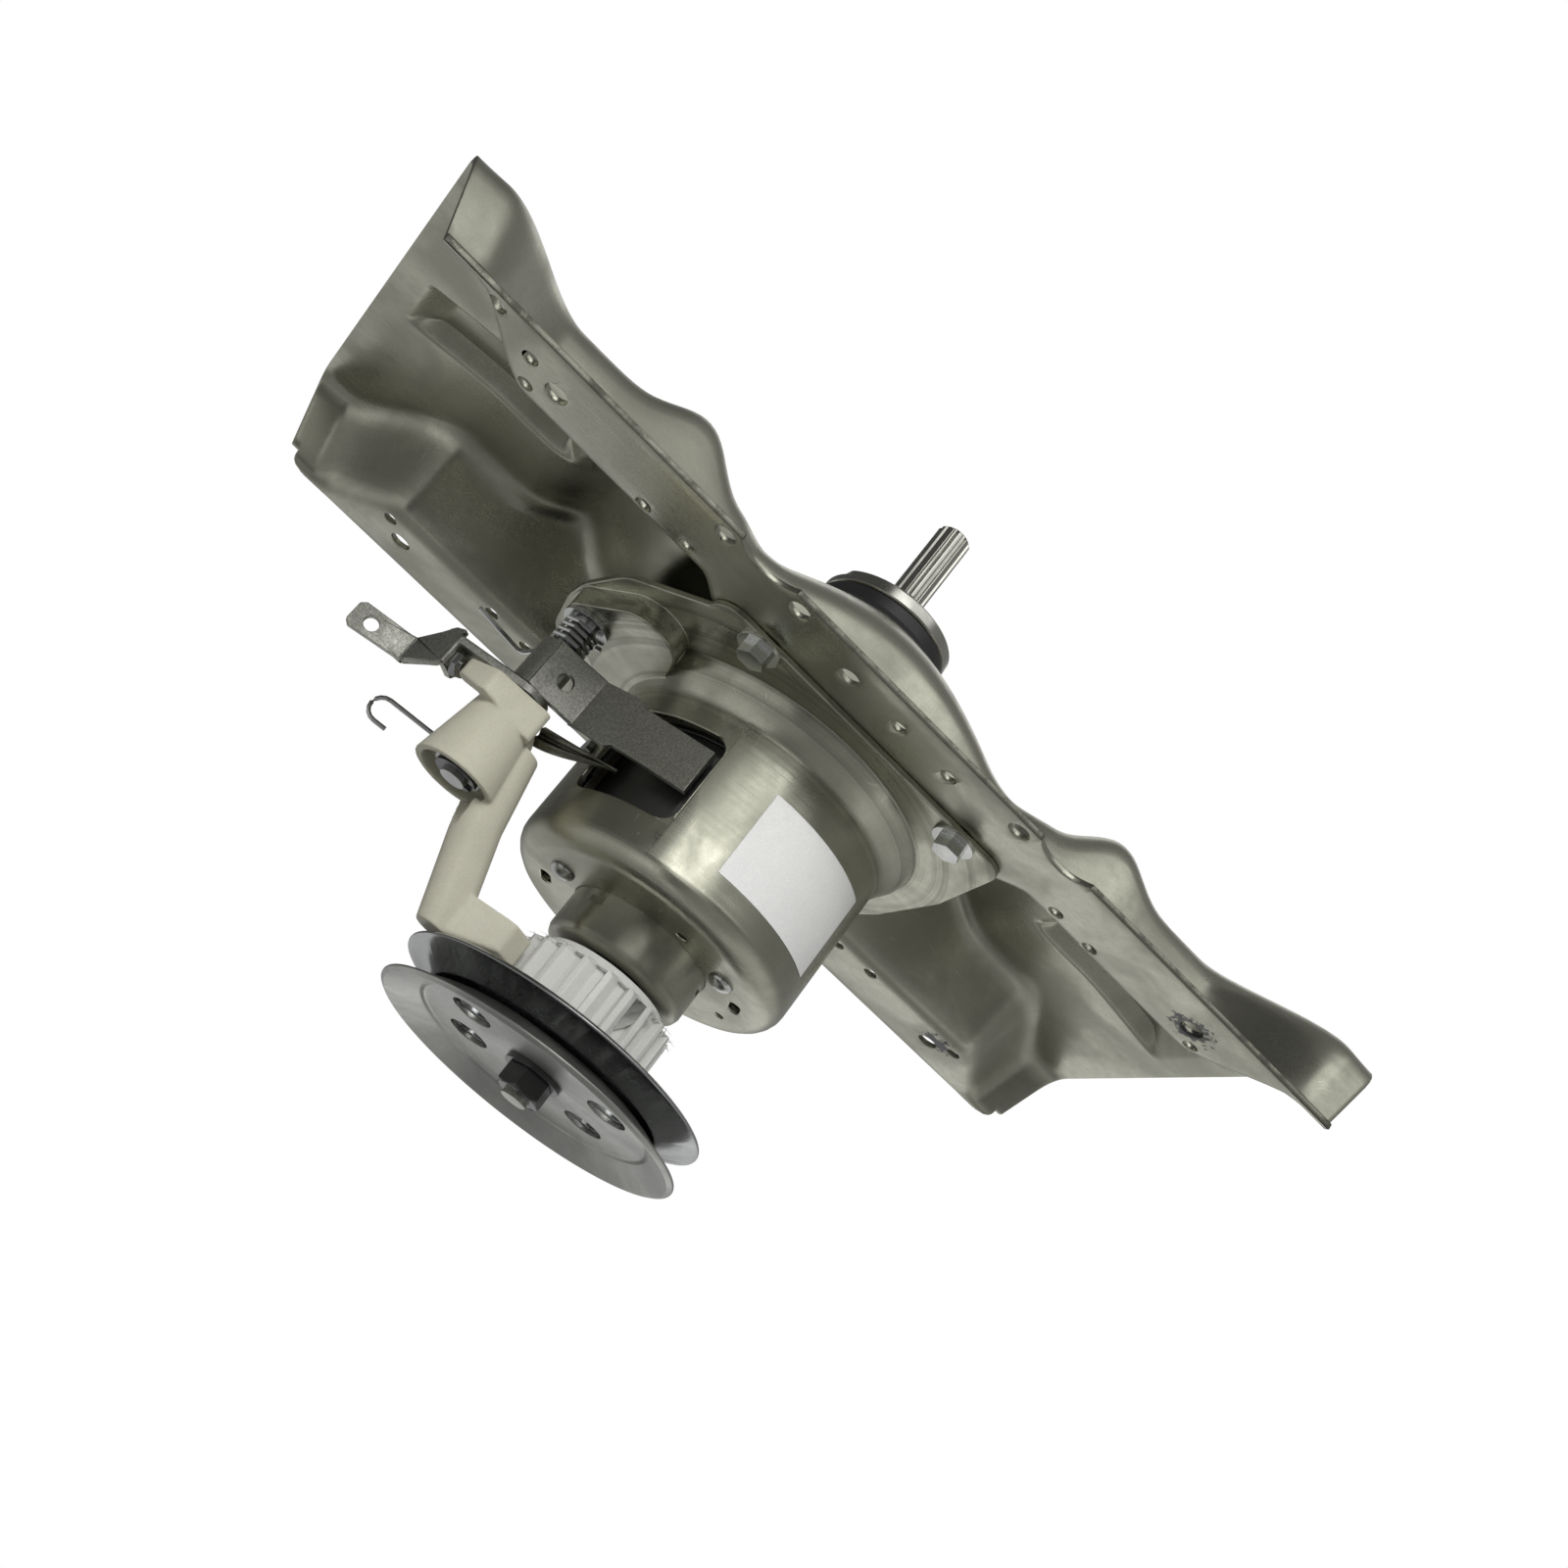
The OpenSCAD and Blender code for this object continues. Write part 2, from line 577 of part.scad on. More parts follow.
module drum_cover() {
  color("lightgray") difference() {
    rotate_extrude() polygon([
      [tube_r, drum_top], [drum_r - 1, drum_top], [drum_r, drum_top + 0.4], [drum_r, drum_top + 2],
      [tube_r + 7, drum_top + 2], [tube_r + 3, drum_top + 4], [tube_r + 3, cover_z + 8],
      [tube_r, cover_z + 8]
    ]);
    for (k = [0:3]) rotate(45 + 90 * k) translate([cover_screw_ring, 0, drum_top - 1])
      cylinder(r = 1.5, h = 5);
  }
}
module cover_screws() {
  color("lightsteelblue") for (k = [0:3]) rotate(45 + 90 * k)
    translate([cover_screw_ring, 0, drum_top]) {
      translate([0, 0, 2]) cylinder(r = 2.8, h = 1.6);
      translate([0, 0, -6]) cylinder(r = 1.5, h = 9);
    }
}
ring_bottom = gear_z - 1;
ring_top = drum_top;
sleeve_bottom = -86;
sleeve_bore = input_r + 2;
module brake_drum() {
  color("gray") rotate_extrude() polygon([
    [sleeve_bore, sleeve_bottom], [sleeve_r, sleeve_bottom], [sleeve_r, lower_bearing_z + bearing_w + 0.5],
    [sleeve_r + 2, lower_bearing_z + bearing_w + 0.5], [sleeve_r + 2, drum_bottom],
    [drum_r - 3, drum_bottom], [drum_r - 0.9, drum_bottom + 0.9], [drum_r, drum_bottom + 3],
    [drum_r, drum_top], [drum_r - drum_t, drum_top], [drum_r - drum_t, ring_bottom],
    [drum_r - drum_t - 2, ring_bottom], [drum_r - drum_t - 4, drum_bottom + drum_t],
    [sleeve_bore, drum_bottom + drum_t]
  ]);
}

// Involute gear outline, with the tooth thinned by play at the pitch circle
function roll(rb, r) = let (a = acos(min(1, rb / r))) tan(a) * 180 / PI - a;
function flank(n, m, r, play) =
  let (rp = n * m / 2, rb = rp * cos(20))
  90 / n - play / rp * 45 / PI + roll(rb, rp) - roll(rb, max(r, rb));
function gear_points(n, m, r0, r1, play) = [for (k = [0:n - 1]) each concat(
  [for (i = [0:4]) let (r = r0 + (r1 - r0) * i / 4) polar(r, 360 * k / n - flank(n, m, r, play))],
  [for (i = [4:-1:0]) let (r = r0 + (r1 - r0) * i / 4) polar(r, 360 * k / n + flank(n, m, r, play))])];
planet_ring = pitch_r(sun_teeth + planet_teeth);
module gear(n, h) {
  linear_extrude(h) polygon(gear_points(n, gear_m,
    pitch_r(n) - 1.2 * gear_m, pitch_r(n) + 0.95 * gear_m, gear_play));
}
module ring_gear() {
  color("gainsboro") translate([0, 0, ring_bottom]) difference() {
    cylinder(r = ring_r, h = ring_top - ring_bottom);
    translate([0, 0, -1]) rotate(180 / ring_teeth) linear_extrude(ring_top - ring_bottom + 2)
      polygon(gear_points(ring_teeth, gear_m, pitch_r(ring_teeth) - 0.95 * gear_m,
        pitch_r(ring_teeth) + 1.2 * gear_m, -gear_play));
    for (k = [0:3]) rotate(45 + 90 * k)
      translate([cover_screw_ring, 0, ring_top - ring_bottom - 7]) cylinder(r = 1.5, h = 9);
  }
}

// Planet carrier: two plates joined by three spacers, on the pulsator shaft
carrier_room = 1.55;
carrier_r = pitch_r(ring_teeth) - 0.95 * gear_m - carrier_room;
spacer_ring = planet_ring + 2;
carrier_top = gear_z + gear_w + part_gap;
carrier_plate = 4;
carrier_lower = 3;
module planet_spots() { for (k = [0:2]) rotate(120 * k) translate([planet_ring, 0, 0]) children(); }
module planet_carrier() {
  low = gear_z - part_gap - carrier_lower;
  color("gray") difference() {
    union() {
      translate([0, 0, carrier_top]) cylinder(r = carrier_r, h = carrier_plate);
      translate([0, 0, low]) cylinder(r = carrier_r, h = carrier_lower);
      for (k = [0:2]) rotate(60 + 120 * k) translate([spacer_ring, 0, low])
        cylinder(r = 4, h = carrier_top - low + 1);
    }
    translate([0, 0, low - 1]) cylinder(r = pitch_r(sun_teeth) + 2.5, h = carrier_lower + 2);
    translate([0, 0, carrier_top - 1]) cylinder(r = shaft_r, h = carrier_plate + 2);
    planet_spots() translate([0, 0, low - 1])
      cylinder(r = planet_pin_r, h = carrier_top - low + carrier_plate + 2);
  }
}
module planet_pins() {
  low = gear_z - part_gap - carrier_lower;
  color("lightgray") planet_spots() translate([0, 0, low])
    cylinder(r = planet_pin_r, h = carrier_top + carrier_plate - low);
}
module planet_gear(k) {
  rotate(120 * k) translate([planet_ring, 0, gear_z]) difference() {
    rotate(180 / planet_teeth) gear(planet_teeth, gear_w);
    translate([0, 0, -1]) cylinder(r = planet_pin_r + run_play, h = gear_w + 2);
  }
}
module planet_gear_1() { color("ivory") planet_gear(0); }
module planet_gear_2() { color("ivory") planet_gear(1); }
module planet_gear_3() { color("ivory") planet_gear(2); }

// Pulsator shaft with its spline and tapped end
spline_root = spline_d / 2 - 0.8;
function spline_points() = [for (k = [0:spline_teeth - 1]) let (p = 360 / spline_teeth) each [
  polar(spline_root, p * (k - 0.32)), polar(spline_d / 2, p * (k - 0.2)),
  polar(spline_d / 2, p * k), polar(spline_d / 2, p * (k + 0.2)), polar(spline_root, p * (k + 0.32))]];
tapped_d = 5;
module pulsator_shaft() {
  foot = carrier_top;
  neck_r = spline_root + 0.3;
  color("gainsboro") difference() {
    union() {
      translate([0, 0, foot]) cylinder(r = shaft_r, h = hub_top + 2 - foot);
      translate([0, 0, hub_top + 1]) cylinder(r = neck_r, h = spline_z - hub_top);
      intersection() {
        translate([0, 0, spline_z]) linear_extrude(shaft_top - spline_z) polygon(spline_points());
        translate([0, 0, spline_z]) rotate_extrude() polygon([
          [0, 0], [neck_r, 0], [spline_d / 2 + 0.1, 1.2], [spline_d / 2 + 0.1, shaft_top - spline_z - 1],
          [spline_d / 2 - 1, shaft_top - spline_z], [0, shaft_top - spline_z]
        ]);
      }
    }
    translate([0, 0, shaft_top - 22]) cylinder(d = tapped_d, h = 23);
    // Centre hole for the sun gear's tip
    translate([0, 0, foot - 1]) cylinder(r = 2.5, h = 4);
  }
}
module bush(z, h, bore_r, outer_r) {
  translate([0, 0, z]) difference() {
    cylinder(r = outer_r, h = h);
    translate([0, 0, -1]) cylinder(r = bore_r + run_play, h = h + 2);
  }
}
module upper_bush() { color("darkgoldenrod") bush(hub_top - 24, 22, shaft_r, tube_bore); }
module lower_bush() { color("darkgoldenrod") bush(sleeve_bottom + 1, 26, input_r, sleeve_bore); }

// Input shaft: sun gear above, belt pulley and nut below
hub_sleeve_top = sleeve_bottom - 1;
web_z = -112;
thread_r = 4;
module input_shaft() {
  color("lightgray") {
    translate([0, 0, gear_z]) gear(sun_teeth, gear_w - 0.5);
    translate([0, 0, web_z + pulley_t]) cylinder(r = input_r, h = gear_z + 1 - web_z - pulley_t);
    translate([0, 0, input_bottom]) cylinder(r = thread_r, h = web_z - input_bottom + 2);
    // Collar that carries the clutch spring and seats the pulley
    translate([0, 0, web_z + pulley_t]) cylinder(r = sleeve_r, h = hub_sleeve_top - web_z - pulley_t);
  }
}

// A wound wire: one unbroken tube of a mean radius, with straight ends
function helix(r, z0, pitch, curls, start, hand = 1) = [for (k = [0:8 * curls])
  concat(polar(r, start + hand * 45 * k), z0 + pitch * k / 8)];
module wire_tube(path, wire) {
  n = len(path);
  sides = 6;
  function way(i) = unit(path[min(i + 1, n - 1)] - path[max(i - 1, 0)]);
  function side(i) = let (d = way(i), s = cross(d, [0, 0, 1]))
    norm(s) > 0.2 ? unit(s) : unit(cross(d, [1, 0, 0]));
  rings = [for (i = [0:n - 1]) let (d = way(i), u = side(i), v = cross(d, u))
    for (k = [0:sides - 1]) path[i] + wire / 2 * (cos(60 * k) * u + sin(60 * k) * v)];
  faces = concat(
    [[for (k = [0:sides - 1]) k]],
    [[for (k = [sides - 1:-1:0]) (n - 1) * sides + k]],
    [for (i = [0:n - 2], k = [0:sides - 1]) let (a = i * sides, m = (k + 1) % sides) each [
      [a + k, a + sides + k, a + sides + m], [a + k, a + sides + m, a + m]]]);
  polyhedron(points = rings, faces = faces, convexity = 20);
}
function near_gap(path, wire, apart) = min([for (i = [0:len(path) - 1], j = [i + apart:1:len(path) - 1])
  norm(path[i] - path[j])]) - wire;

// Clutch spring: wound round both sleeves inside the ratchet sleeve
clutch_mean_r = (sleeve_r + clutch_wire / 2 + 0.15) / cos(22.5);
clutch_curls = 7;
clutch_pitch = (ratchet_top - ratchet_bottom - 5.5 - clutch_wire / 2) / clutch_curls;
clutch_path = helix(clutch_mean_r, ratchet_bottom + 1.5, clutch_pitch, clutch_curls, 0);
module clutch_spring() { color("dimgray") wire_tube(clutch_path, clutch_wire); }
echo(clutch_spring_gap = near_gap(clutch_path, clutch_wire, 5));

// Ratchet sleeve: saw teeth that the pawl's finger stops
function saw_points() = [for (k = [0:ratchet_teeth - 1]) let (p = 360 / ratchet_teeth) each [
  polar(ratchet_r, p * k), polar(ratchet_r, p * (k + 0.25)),
  polar(ratchet_r - ratchet_tooth, p * (k + 0.62)), polar(ratchet_r - ratchet_tooth, p * (k + 0.98))]];
ratchet_bore = clutch_mean_r + clutch_wire / 2 + 0.4;
module clutch_sleeve() {
  color("ghostwhite") difference() {
    union() {
      translate([0, 0, ratchet_bottom]) linear_extrude(ratchet_top - ratchet_bottom - 3)
        polygon(saw_points());
      translate([0, 0, ratchet_top - 3.5])
        cylinder(r1 = ratchet_r - ratchet_tooth, r2 = ratchet_r - ratchet_tooth - 2.5, h = 3.5);
    }
    translate([0, 0, ratchet_bottom - 1]) cylinder(r = ratchet_bore, h = ratchet_top - ratchet_bottom - 1);
    translate([0, 0, ratchet_top - 3]) cylinder(r = sleeve_r + part_gap, h = 5);
  }
}

// Belt pulley: two pressed halves back to back
flange_fold = 4;
function half_profile(rim_z, web, side) = [
  [0, web], [groove_r - 1, web], [groove_r + 1.5, web + side * 1],
  [pulley_r - 1, rim_z - side * 0.8], [pulley_r, rim_z - side * 0.8], [pulley_r, rim_z],
  [pulley_r - 1.4, rim_z + side * 0.8], [groove_r + 0.4, web + side * (pulley_t + 1)],
  [groove_r - 1.6, web + side * pulley_t], [0, web + side * pulley_t]];
web_hole_ring = 25;
web_hole_angles = [133, 188, 317, 24];
module pulley_half(rim_z, side) {
  difference() {
    rotate_extrude() polygon(half_profile(rim_z, web_z, side));
    translate([0, 0, web_z - 5]) cylinder(r = thread_r + 0.02, h = 10);
    for (a = web_hole_angles) rotate(a) translate([web_hole_ring, 0, web_z - 5])
      cylinder(d = web_hole_d, h = 10);
  }
}
module pulley_upper_half() { color("lightslategray") pulley_half(pulley_top, 1); }
module pulley_lower_half() { color("silver") pulley_half(pulley_bottom, -1); }
washer_t = 1.6;
module pulley_washer() {
  color("dimgray") translate([0, 0, web_z - pulley_t - washer_t]) difference() {
    cylinder(r = 9, h = washer_t);
    translate([0, 0, -1]) cylinder(r = thread_r + 0.02, h = washer_t + 2);
  }
}
module pulley_nut() {
  nut_h = 6.3;
  color("dimgray") translate([0, 0, web_z - pulley_t - washer_t - nut_h]) difference() {
    intersection() {
      hex(nut_af, nut_h);
      rotate_extrude() polygon([[0, 0], [nut_af / 2, 0], [nut_af * 0.6, 0.9], [nut_af * 0.6, nut_h], [0, nut_h]]);
    }
    translate([0, 0, -1]) cylinder(r = thread_r, h = nut_h + 2);
  }
}

// Brake lever: one pressed strip, rolled round the pivot pin
arm_tip = [-25, -37.6];
arm_bend = [-56, -11.4];
plate_y = pivot[1] - roll_r + lever_t / 2 - 0.5;
pull_near = [-93, -3];
pull_bend = [-101, 5.5];
pull_end = [-119, 9];
pull_low = -48;
ear_t = 2;
module plate_between(a, b, outline) {
  d = b - a;
  translate([a[0], a[1], 0]) rotate(atan2(d[1], d[0])) translate([0, lever_t / 2, 0])
    rotate([90, 0, 0]) linear_extrude(lever_t) polygon(outline);
}
module fold(p, z0, z1, swell = 0.4) {
  translate([p[0], p[1], z0 + 0.1]) cylinder(d = lever_t + swell, h = z1 - z0 - 0.2);
}
module brake_lever() {
  h = lever_top - lever_bottom;
  front = [pivot[0] - 2.5, plate_y];
  plate_len = norm(arm_bend - front);
  arm_len = norm(arm_tip - arm_bend);
  near_len = norm(pull_bend - pull_near);
  far_len = norm(pull_end - pull_bend);
  hole_z = lever_bottom - 11.4;
  color("gray") difference() {
    union() {
      translate([pivot[0], pivot[1], lever_bottom]) cylinder(r = roll_r, h = h);
      plate_between(front, arm_bend, [[0, lever_bottom], [plate_len, lever_bottom],
        [plate_len, lever_top], [0, lever_top]]);
      fold(arm_bend, lever_bottom, lever_top);
      plate_between(arm_bend, arm_tip, [[0, lever_bottom - 0.15], [4, lever_bottom - 0.2],
        [12.5, lever_bottom - 1.2], [14.5, lever_bottom + 0.2], [arm_len, lever_bottom - 2],
        [arm_len, lever_top - 4], [15.5, lever_top - 1.8], [13.5, lever_top], [0, lever_top]]);
      // Ear under the roll that carries the pull arm
      translate([0, 0, lever_bottom - ear_t]) linear_extrude(ear_t + 0.4) hull() {
        translate(pivot) circle(r = roll_r + 1, $fn = 32);
        translate(pull_near) circle(r = lever_t / 2, $fn = 32);
        translate(pull_near + 0.3 * (pull_bend - pull_near)) circle(r = lever_t / 2, $fn = 32);
      }
      plate_between(pull_near, pull_bend, [[0, pull_low + 1], [1, pull_low],
        [near_len, pull_low - 3.7], [near_len, lever_bottom - 6.3], [6, lever_bottom - 1.2],
        [3, lever_bottom + 2], [0, lever_bottom + 2.4]]);
      // Lug for the adjusting screw, folded at the pull arm's near end
      fold(pull_near, pull_low + 1, lever_bottom, 0.14);
      plate_between(pull_near, lug_end, [[0, pull_low + 1], [7, pull_low + 1], [8.4, pull_low + 3],
        [8.4, lever_bottom - ear_t + 0.2], [0, lever_bottom - ear_t + 0.2]]);
      fold(pull_bend, pull_low - 3.7, lever_bottom - 6.3);
      plate_between(pull_bend, pull_end, [[0, pull_low - 3.7], [far_len - 1.5, pull_low - 5.3],
        [far_len, pull_low - 4], [far_len, lever_bottom - 8.6], [far_len - 1.5, lever_bottom - 7.2],
        [0, lever_bottom - 6.3]]);
    }
    translate([pivot[0], pivot[1], lever_bottom - 3]) cylinder(r = pin_r + run_play, h = h + 6);
    // Half round lance in the front plate
    translate([pivot[0] + 5.2, plate_y + 1, lever_bottom + h / 2 - 0.3])
      rotate([90, 0, 0]) cylinder(r = 2.6, h = 8);
    // Hole for the pull cable
    translate(concat(pull_bend + 0.66 * (pull_end - pull_bend), hole_z))
      rotate([90, 0, atan2(pull_end[1] - pull_bend[1], pull_end[0] - pull_bend[0])])
        cylinder(d = pull_hole_d, h = 20, center = true);
    // Tapped hole for the adjusting screw
    along_screw(-6) cylinder(r = screw_r, h = 8);
  }
}
// The screw stands square to its lug and holds the pawl's tab towards the ratchet
screw_r = 2;
screw_z = -43.4;
screw_angle = -41;
lug_end = pull_near + polar(8.4, screw_angle + 90);
screw_seat = concat(pull_near + polar(4, screw_angle + 90), screw_z);
screw_reach = 4.2;
module along_screw(from) {
  translate(screw_seat) rotate([0, 90, screw_angle]) translate([0, 0, from]) children();
}
module adjusting_screw() {
  color("lightsteelblue") difference() {
    along_screw(-lever_t / 2 - 1.8) cylinder(r = screw_r, h = screw_reach + 1.8 + lever_t / 2);
    // Slot for a screwdriver
    along_screw(-lever_t / 2 - 2) translate([-3, -0.35, 0]) cube([6, 0.7, 1]);
  }
}
module lock_nut() {
  color("lightsteelblue") along_screw(lever_t / 2 + 0.1) difference() {
    hex(6.6, 2.4);
    translate([0, 0, -1]) cylinder(r = screw_r, h = 5);
  }
}

// Pivot pin shared by the lever and the pawl, with its washer and clip
pin_washer_r = 7.8;
washer_z = boss_bottom + 4 - part_gap;
pin_end = washer_z - 4.2;
module pivot_pin() {
  color("gainsboro") translate([pivot[0], pivot[1], 0]) {
    translate([0, 0, pin_end]) cylinder(r = pin_r, h = -lobe_drop - pin_end);
    translate([0, 0, -lobe_drop - 1]) cylinder(r = pin_r - 1, h = lobe_drop + 1.6);
    translate([0, 0, -lobe_drop - 1.6]) cylinder(r = pin_r + 3.5, h = 1.6);
    translate([0, 0, -lobe_drop + cup_t]) cylinder(r = pin_r + 0.5, h = 1.2);
  }
}
module pin_washer() {
  color("lightsteelblue") translate([pivot[0], pivot[1], washer_z - 1.4]) difference() {
    cylinder(r = pin_washer_r, h = 1.4);
    translate([0, 0, -1]) cylinder(r = pin_r, h = 4);
  }
}
module pin_clip() {
  color("dimgray") translate([pivot[0], pivot[1], washer_z - 2.7]) difference() {
    cylinder(r = pin_r + 2.8, h = 1.2);
    translate([0, 0, -1]) cylinder(r = pin_r, h = 4);
    translate([0, -2.4, -1]) cube([12, 4.8, 4]);
  }
}

// Pawl: a moulded arm on the same pin, with a finger in the ratchet
finger = [-24.9, -7.4];
finger_low = -98.5;
leg_foot = [-47.5, -4];
leg_foot_low = -104;
tab_r = 2.6;
tab = [for (k = [0, 1]) screw_seat[k]] + polar(screw_reach + part_gap + tab_r, screw_angle);
boss_recess = 4;
boss_neck_r = boss_r - 4.4;
spring_room_r = boss_r - 5.4;
cup_floor_z = boss_bottom + boss_recess + 2.6;
flange_mid = [-79.5, -11.5];
flange_end = [-64, -12.6];
module pawl_post(at, r, h) {
  translate([at[0], at[1], boss_top - h]) cylinder(r = r, h = h, $fn = 32);
}
module pawl_arm() {
  color("ivory") difference() {
    union() {
      translate([pivot[0], pivot[1], boss_bottom])
        cylinder(r1 = boss_r, r2 = boss_neck_r, h = boss_top - boss_bottom);
      // Flange in front of the boss, with the tab that the adjusting screw pushes
      hull() {
        pawl_post(tab, tab_r, 5.5);
        pawl_post(flange_mid, 2.4, 7.5);
      }
      hull() {
        pawl_post(flange_mid, 2.4, 7.5);
        pawl_post(flange_end, 2.4, 10);
      }
      hull() {
        translate([pivot[0] + 3, pivot[1] - 4, boss_top - 14]) cylinder(r = 5, h = 10, $fn = 32);
        translate([pivot[0] + 9, pivot[1] + 2, boss_top - 13]) cylinder(r = 2.6, h = 6, $fn = 32);
      }
      pawl_leg();
    }
    translate([pivot[0], pivot[1], boss_bottom - 1])
      cylinder(r = pin_r + run_play, h = boss_top - boss_bottom + 2);
    // Room for the pin's washer beside the leg
    translate([pivot[0], pivot[1], boss_bottom - 9]) cylinder(r = pin_washer_r + 0.6, h = 9);
    translate([pivot[0], pivot[1], cup_floor_z]) cylinder(r = spring_room_r, h = 60);
    translate([pivot[0], pivot[1], boss_bottom - 1])
      cylinder(r = boss_r - 2.2, h = boss_recess + 1);
    // Slot for the spring's hooked end
    translate([pivot[0], pivot[1], spring_z]) rotate(hook_angle)
      translate([0, -spring_mean_r - 1.3, -1.3]) cube([20, 2.6, 4]);
  }
}
module pawl_leg() {
  hull() {
    translate([pivot[0] + 9, pivot[1] + 1, boss_bottom + 2]) cylinder(r = 6.5, h = 17, $fn = 32);
    translate([pivot[0] + 14, pivot[1] + 1, boss_bottom - 9]) cylinder(r = 6.5, h = 6, $fn = 32);
  }
  hull() {
    translate([pivot[0] + 14, pivot[1] + 1, boss_bottom - 9]) cylinder(r = 6.5, h = 6, $fn = 32);
    translate([leg_foot[0] - 0.5, leg_foot[1], leg_foot_low]) cylinder(r = 5, h = 13, $fn = 32);
  }
  hull() {
    translate([leg_foot[0], leg_foot[1], leg_foot_low]) cylinder(r = 4.5, h = 13, $fn = 32);
    translate([finger[0] - 7, finger[1] - 1.5, finger_low]) cylinder(r = 2.6, h = 9, $fn = 32);
    translate([finger[0] - 1, finger[1], finger_low]) cylinder(r = 1, h = 9, $fn = 32);
  }
}

// Pawl spring: a torsion spring inside the boss, with one end hooked outside
spring_mean_r = pin_r + 2.6;
spring_z = boss_bottom + 8.5;
spring_top = boss_top - 1.6;
spring_pitch = (spring_top - spring_z) / pawl_curls;
hook_angle = 165.8;
hook_dir = [cos(hook_angle), sin(hook_angle), 0];
hook_len = 27.5;
hook_r = 3.7;
function spring_path() = let (
    s = hook_angle - 90,
    p0 = concat(pivot + polar(spring_mean_r, s), spring_z),
    coil = [for (q = helix(spring_mean_r, spring_z, spring_pitch, pawl_curls, s)) q + concat(pivot, 0)],
    hook = [for (a = [0:22.5:180])
      p0 + hook_dir * (hook_len + hook_r * sin(a)) + [0, 0, -hook_r + hook_r * cos(a)]]
  )
  concat([p0 + hook_dir * (hook_len - 4) + [0, 0, -2 * hook_r]],
    [for (i = [len(hook) - 1:-1:0]) hook[i]], [p0 + hook_dir * 2], coil);
module pawl_spring() { color("lightgray") wire_tube(spring_path(), pawl_wire); }
echo(pawl_spring_gap = near_gap(spring_path(), pawl_wire, 5));

// Lever spring: a torsion spring between the lobe and the lever's roll
lever_coil_r = pin_r + 1.6;
lever_coil_low = lever_top + 1.3;
lever_coil_pitch = (-lobe_drop - 2.6 - lever_coil_low) / lever_curls;
function lever_spring_path() = let (
    coil = [for (q = helix(lever_coil_r, lever_coil_low, lever_coil_pitch, lever_curls, 60, -1))
      q + concat(pivot, 0)],
    last = coil[len(coil) - 1],
    out = concat(polar(1, -30), 0)
  )
  concat([[-94.6, 3, -25], [-79, 6.4, -25], [-77, 6.4, -24.4], [-72.9, 3.7, lever_coil_low - 0.3]],
    coil, [last + 3 * out, last + 6 * out]);
module lever_spring() { color("lightgray") wire_tube(lever_spring_path(), lever_wire); }
echo(lever_spring_gap = near_gap(lever_spring_path(), lever_wire, 5));

// Blank label wrapped on the cup
label_h = 28;
label_low = -cup_depth + 14;
module blank_label() {
  color("white") translate([0, 0, label_low]) rotate(-98) rotate_extrude(angle = 58)
    translate([cup_r + 0.06, 0]) square([0.15, label_h]);
}

mounting_bracket();
upper_bearing_housing();
brake_housing();
housing_bolts();
weld_nuts();
bearing_cap();
cap_screws();
upper_bearing_outer();
upper_bearing_inner();
upper_bearing_balls();
lower_bearing_outer();
lower_bearing_inner();
lower_bearing_balls();
water_seal();
brake_band();
brake_lining();
band_anchor();
pivot_pin();
pin_washer();
pin_clip();
brake_lever();
adjusting_screw();
lock_nut();
pawl_arm();
pawl_spring();
lever_spring();
drum_shaft();
drum_cover();
brake_drum();
cover_screws();
ring_gear();
upper_bush();
lower_bush();
clutch_sleeve();
clutch_spring();
input_shaft();
pulley_upper_half();
pulley_lower_half();
pulley_washer();
pulley_nut();
planet_carrier();
pulsator_shaft();
planet_pins();
planet_gear_1();
planet_gear_2();
planet_gear_3();
blank_label();
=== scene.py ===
"""Looks of a washing machine clutch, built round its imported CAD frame.

Each sub-assembly is a class that models its pieces and dresses them. Lengths in the
classes are in millimetres and become metres where a mesh is made.
"""

import json
import logging
import math
from collections.abc import Callable, Iterator, Sequence
from contextlib import contextmanager
from dataclasses import dataclass, field
from enum import Enum
from functools import partial

import bpy
import numpy as np
from mathutils import Matrix, Vector

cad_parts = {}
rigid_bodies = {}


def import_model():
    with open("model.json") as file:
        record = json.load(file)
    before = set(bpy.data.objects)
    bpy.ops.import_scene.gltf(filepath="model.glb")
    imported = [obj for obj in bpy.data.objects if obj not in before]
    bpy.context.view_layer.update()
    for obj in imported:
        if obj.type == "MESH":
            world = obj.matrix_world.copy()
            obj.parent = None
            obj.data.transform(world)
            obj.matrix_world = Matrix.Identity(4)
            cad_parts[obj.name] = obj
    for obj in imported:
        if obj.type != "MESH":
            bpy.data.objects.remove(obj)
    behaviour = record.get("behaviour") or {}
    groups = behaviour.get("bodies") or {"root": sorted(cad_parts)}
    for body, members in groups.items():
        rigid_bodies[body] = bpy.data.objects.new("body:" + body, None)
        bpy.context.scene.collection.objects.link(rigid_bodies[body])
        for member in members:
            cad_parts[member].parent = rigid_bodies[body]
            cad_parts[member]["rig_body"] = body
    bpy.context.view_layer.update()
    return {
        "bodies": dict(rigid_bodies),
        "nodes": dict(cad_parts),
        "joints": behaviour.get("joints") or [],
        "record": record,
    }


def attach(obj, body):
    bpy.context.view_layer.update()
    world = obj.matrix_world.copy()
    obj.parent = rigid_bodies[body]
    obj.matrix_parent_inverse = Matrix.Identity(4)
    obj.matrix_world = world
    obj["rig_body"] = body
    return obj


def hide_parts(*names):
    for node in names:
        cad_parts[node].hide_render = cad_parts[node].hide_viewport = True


LOG = logging.getLogger("clutch_scene")
MM = 0.001
AXIS = (0, 0, 1)
Point = tuple[float, float, float]
# Place along and across the bracket, and diameter
Hole = tuple[float, float, float]


# Finishes


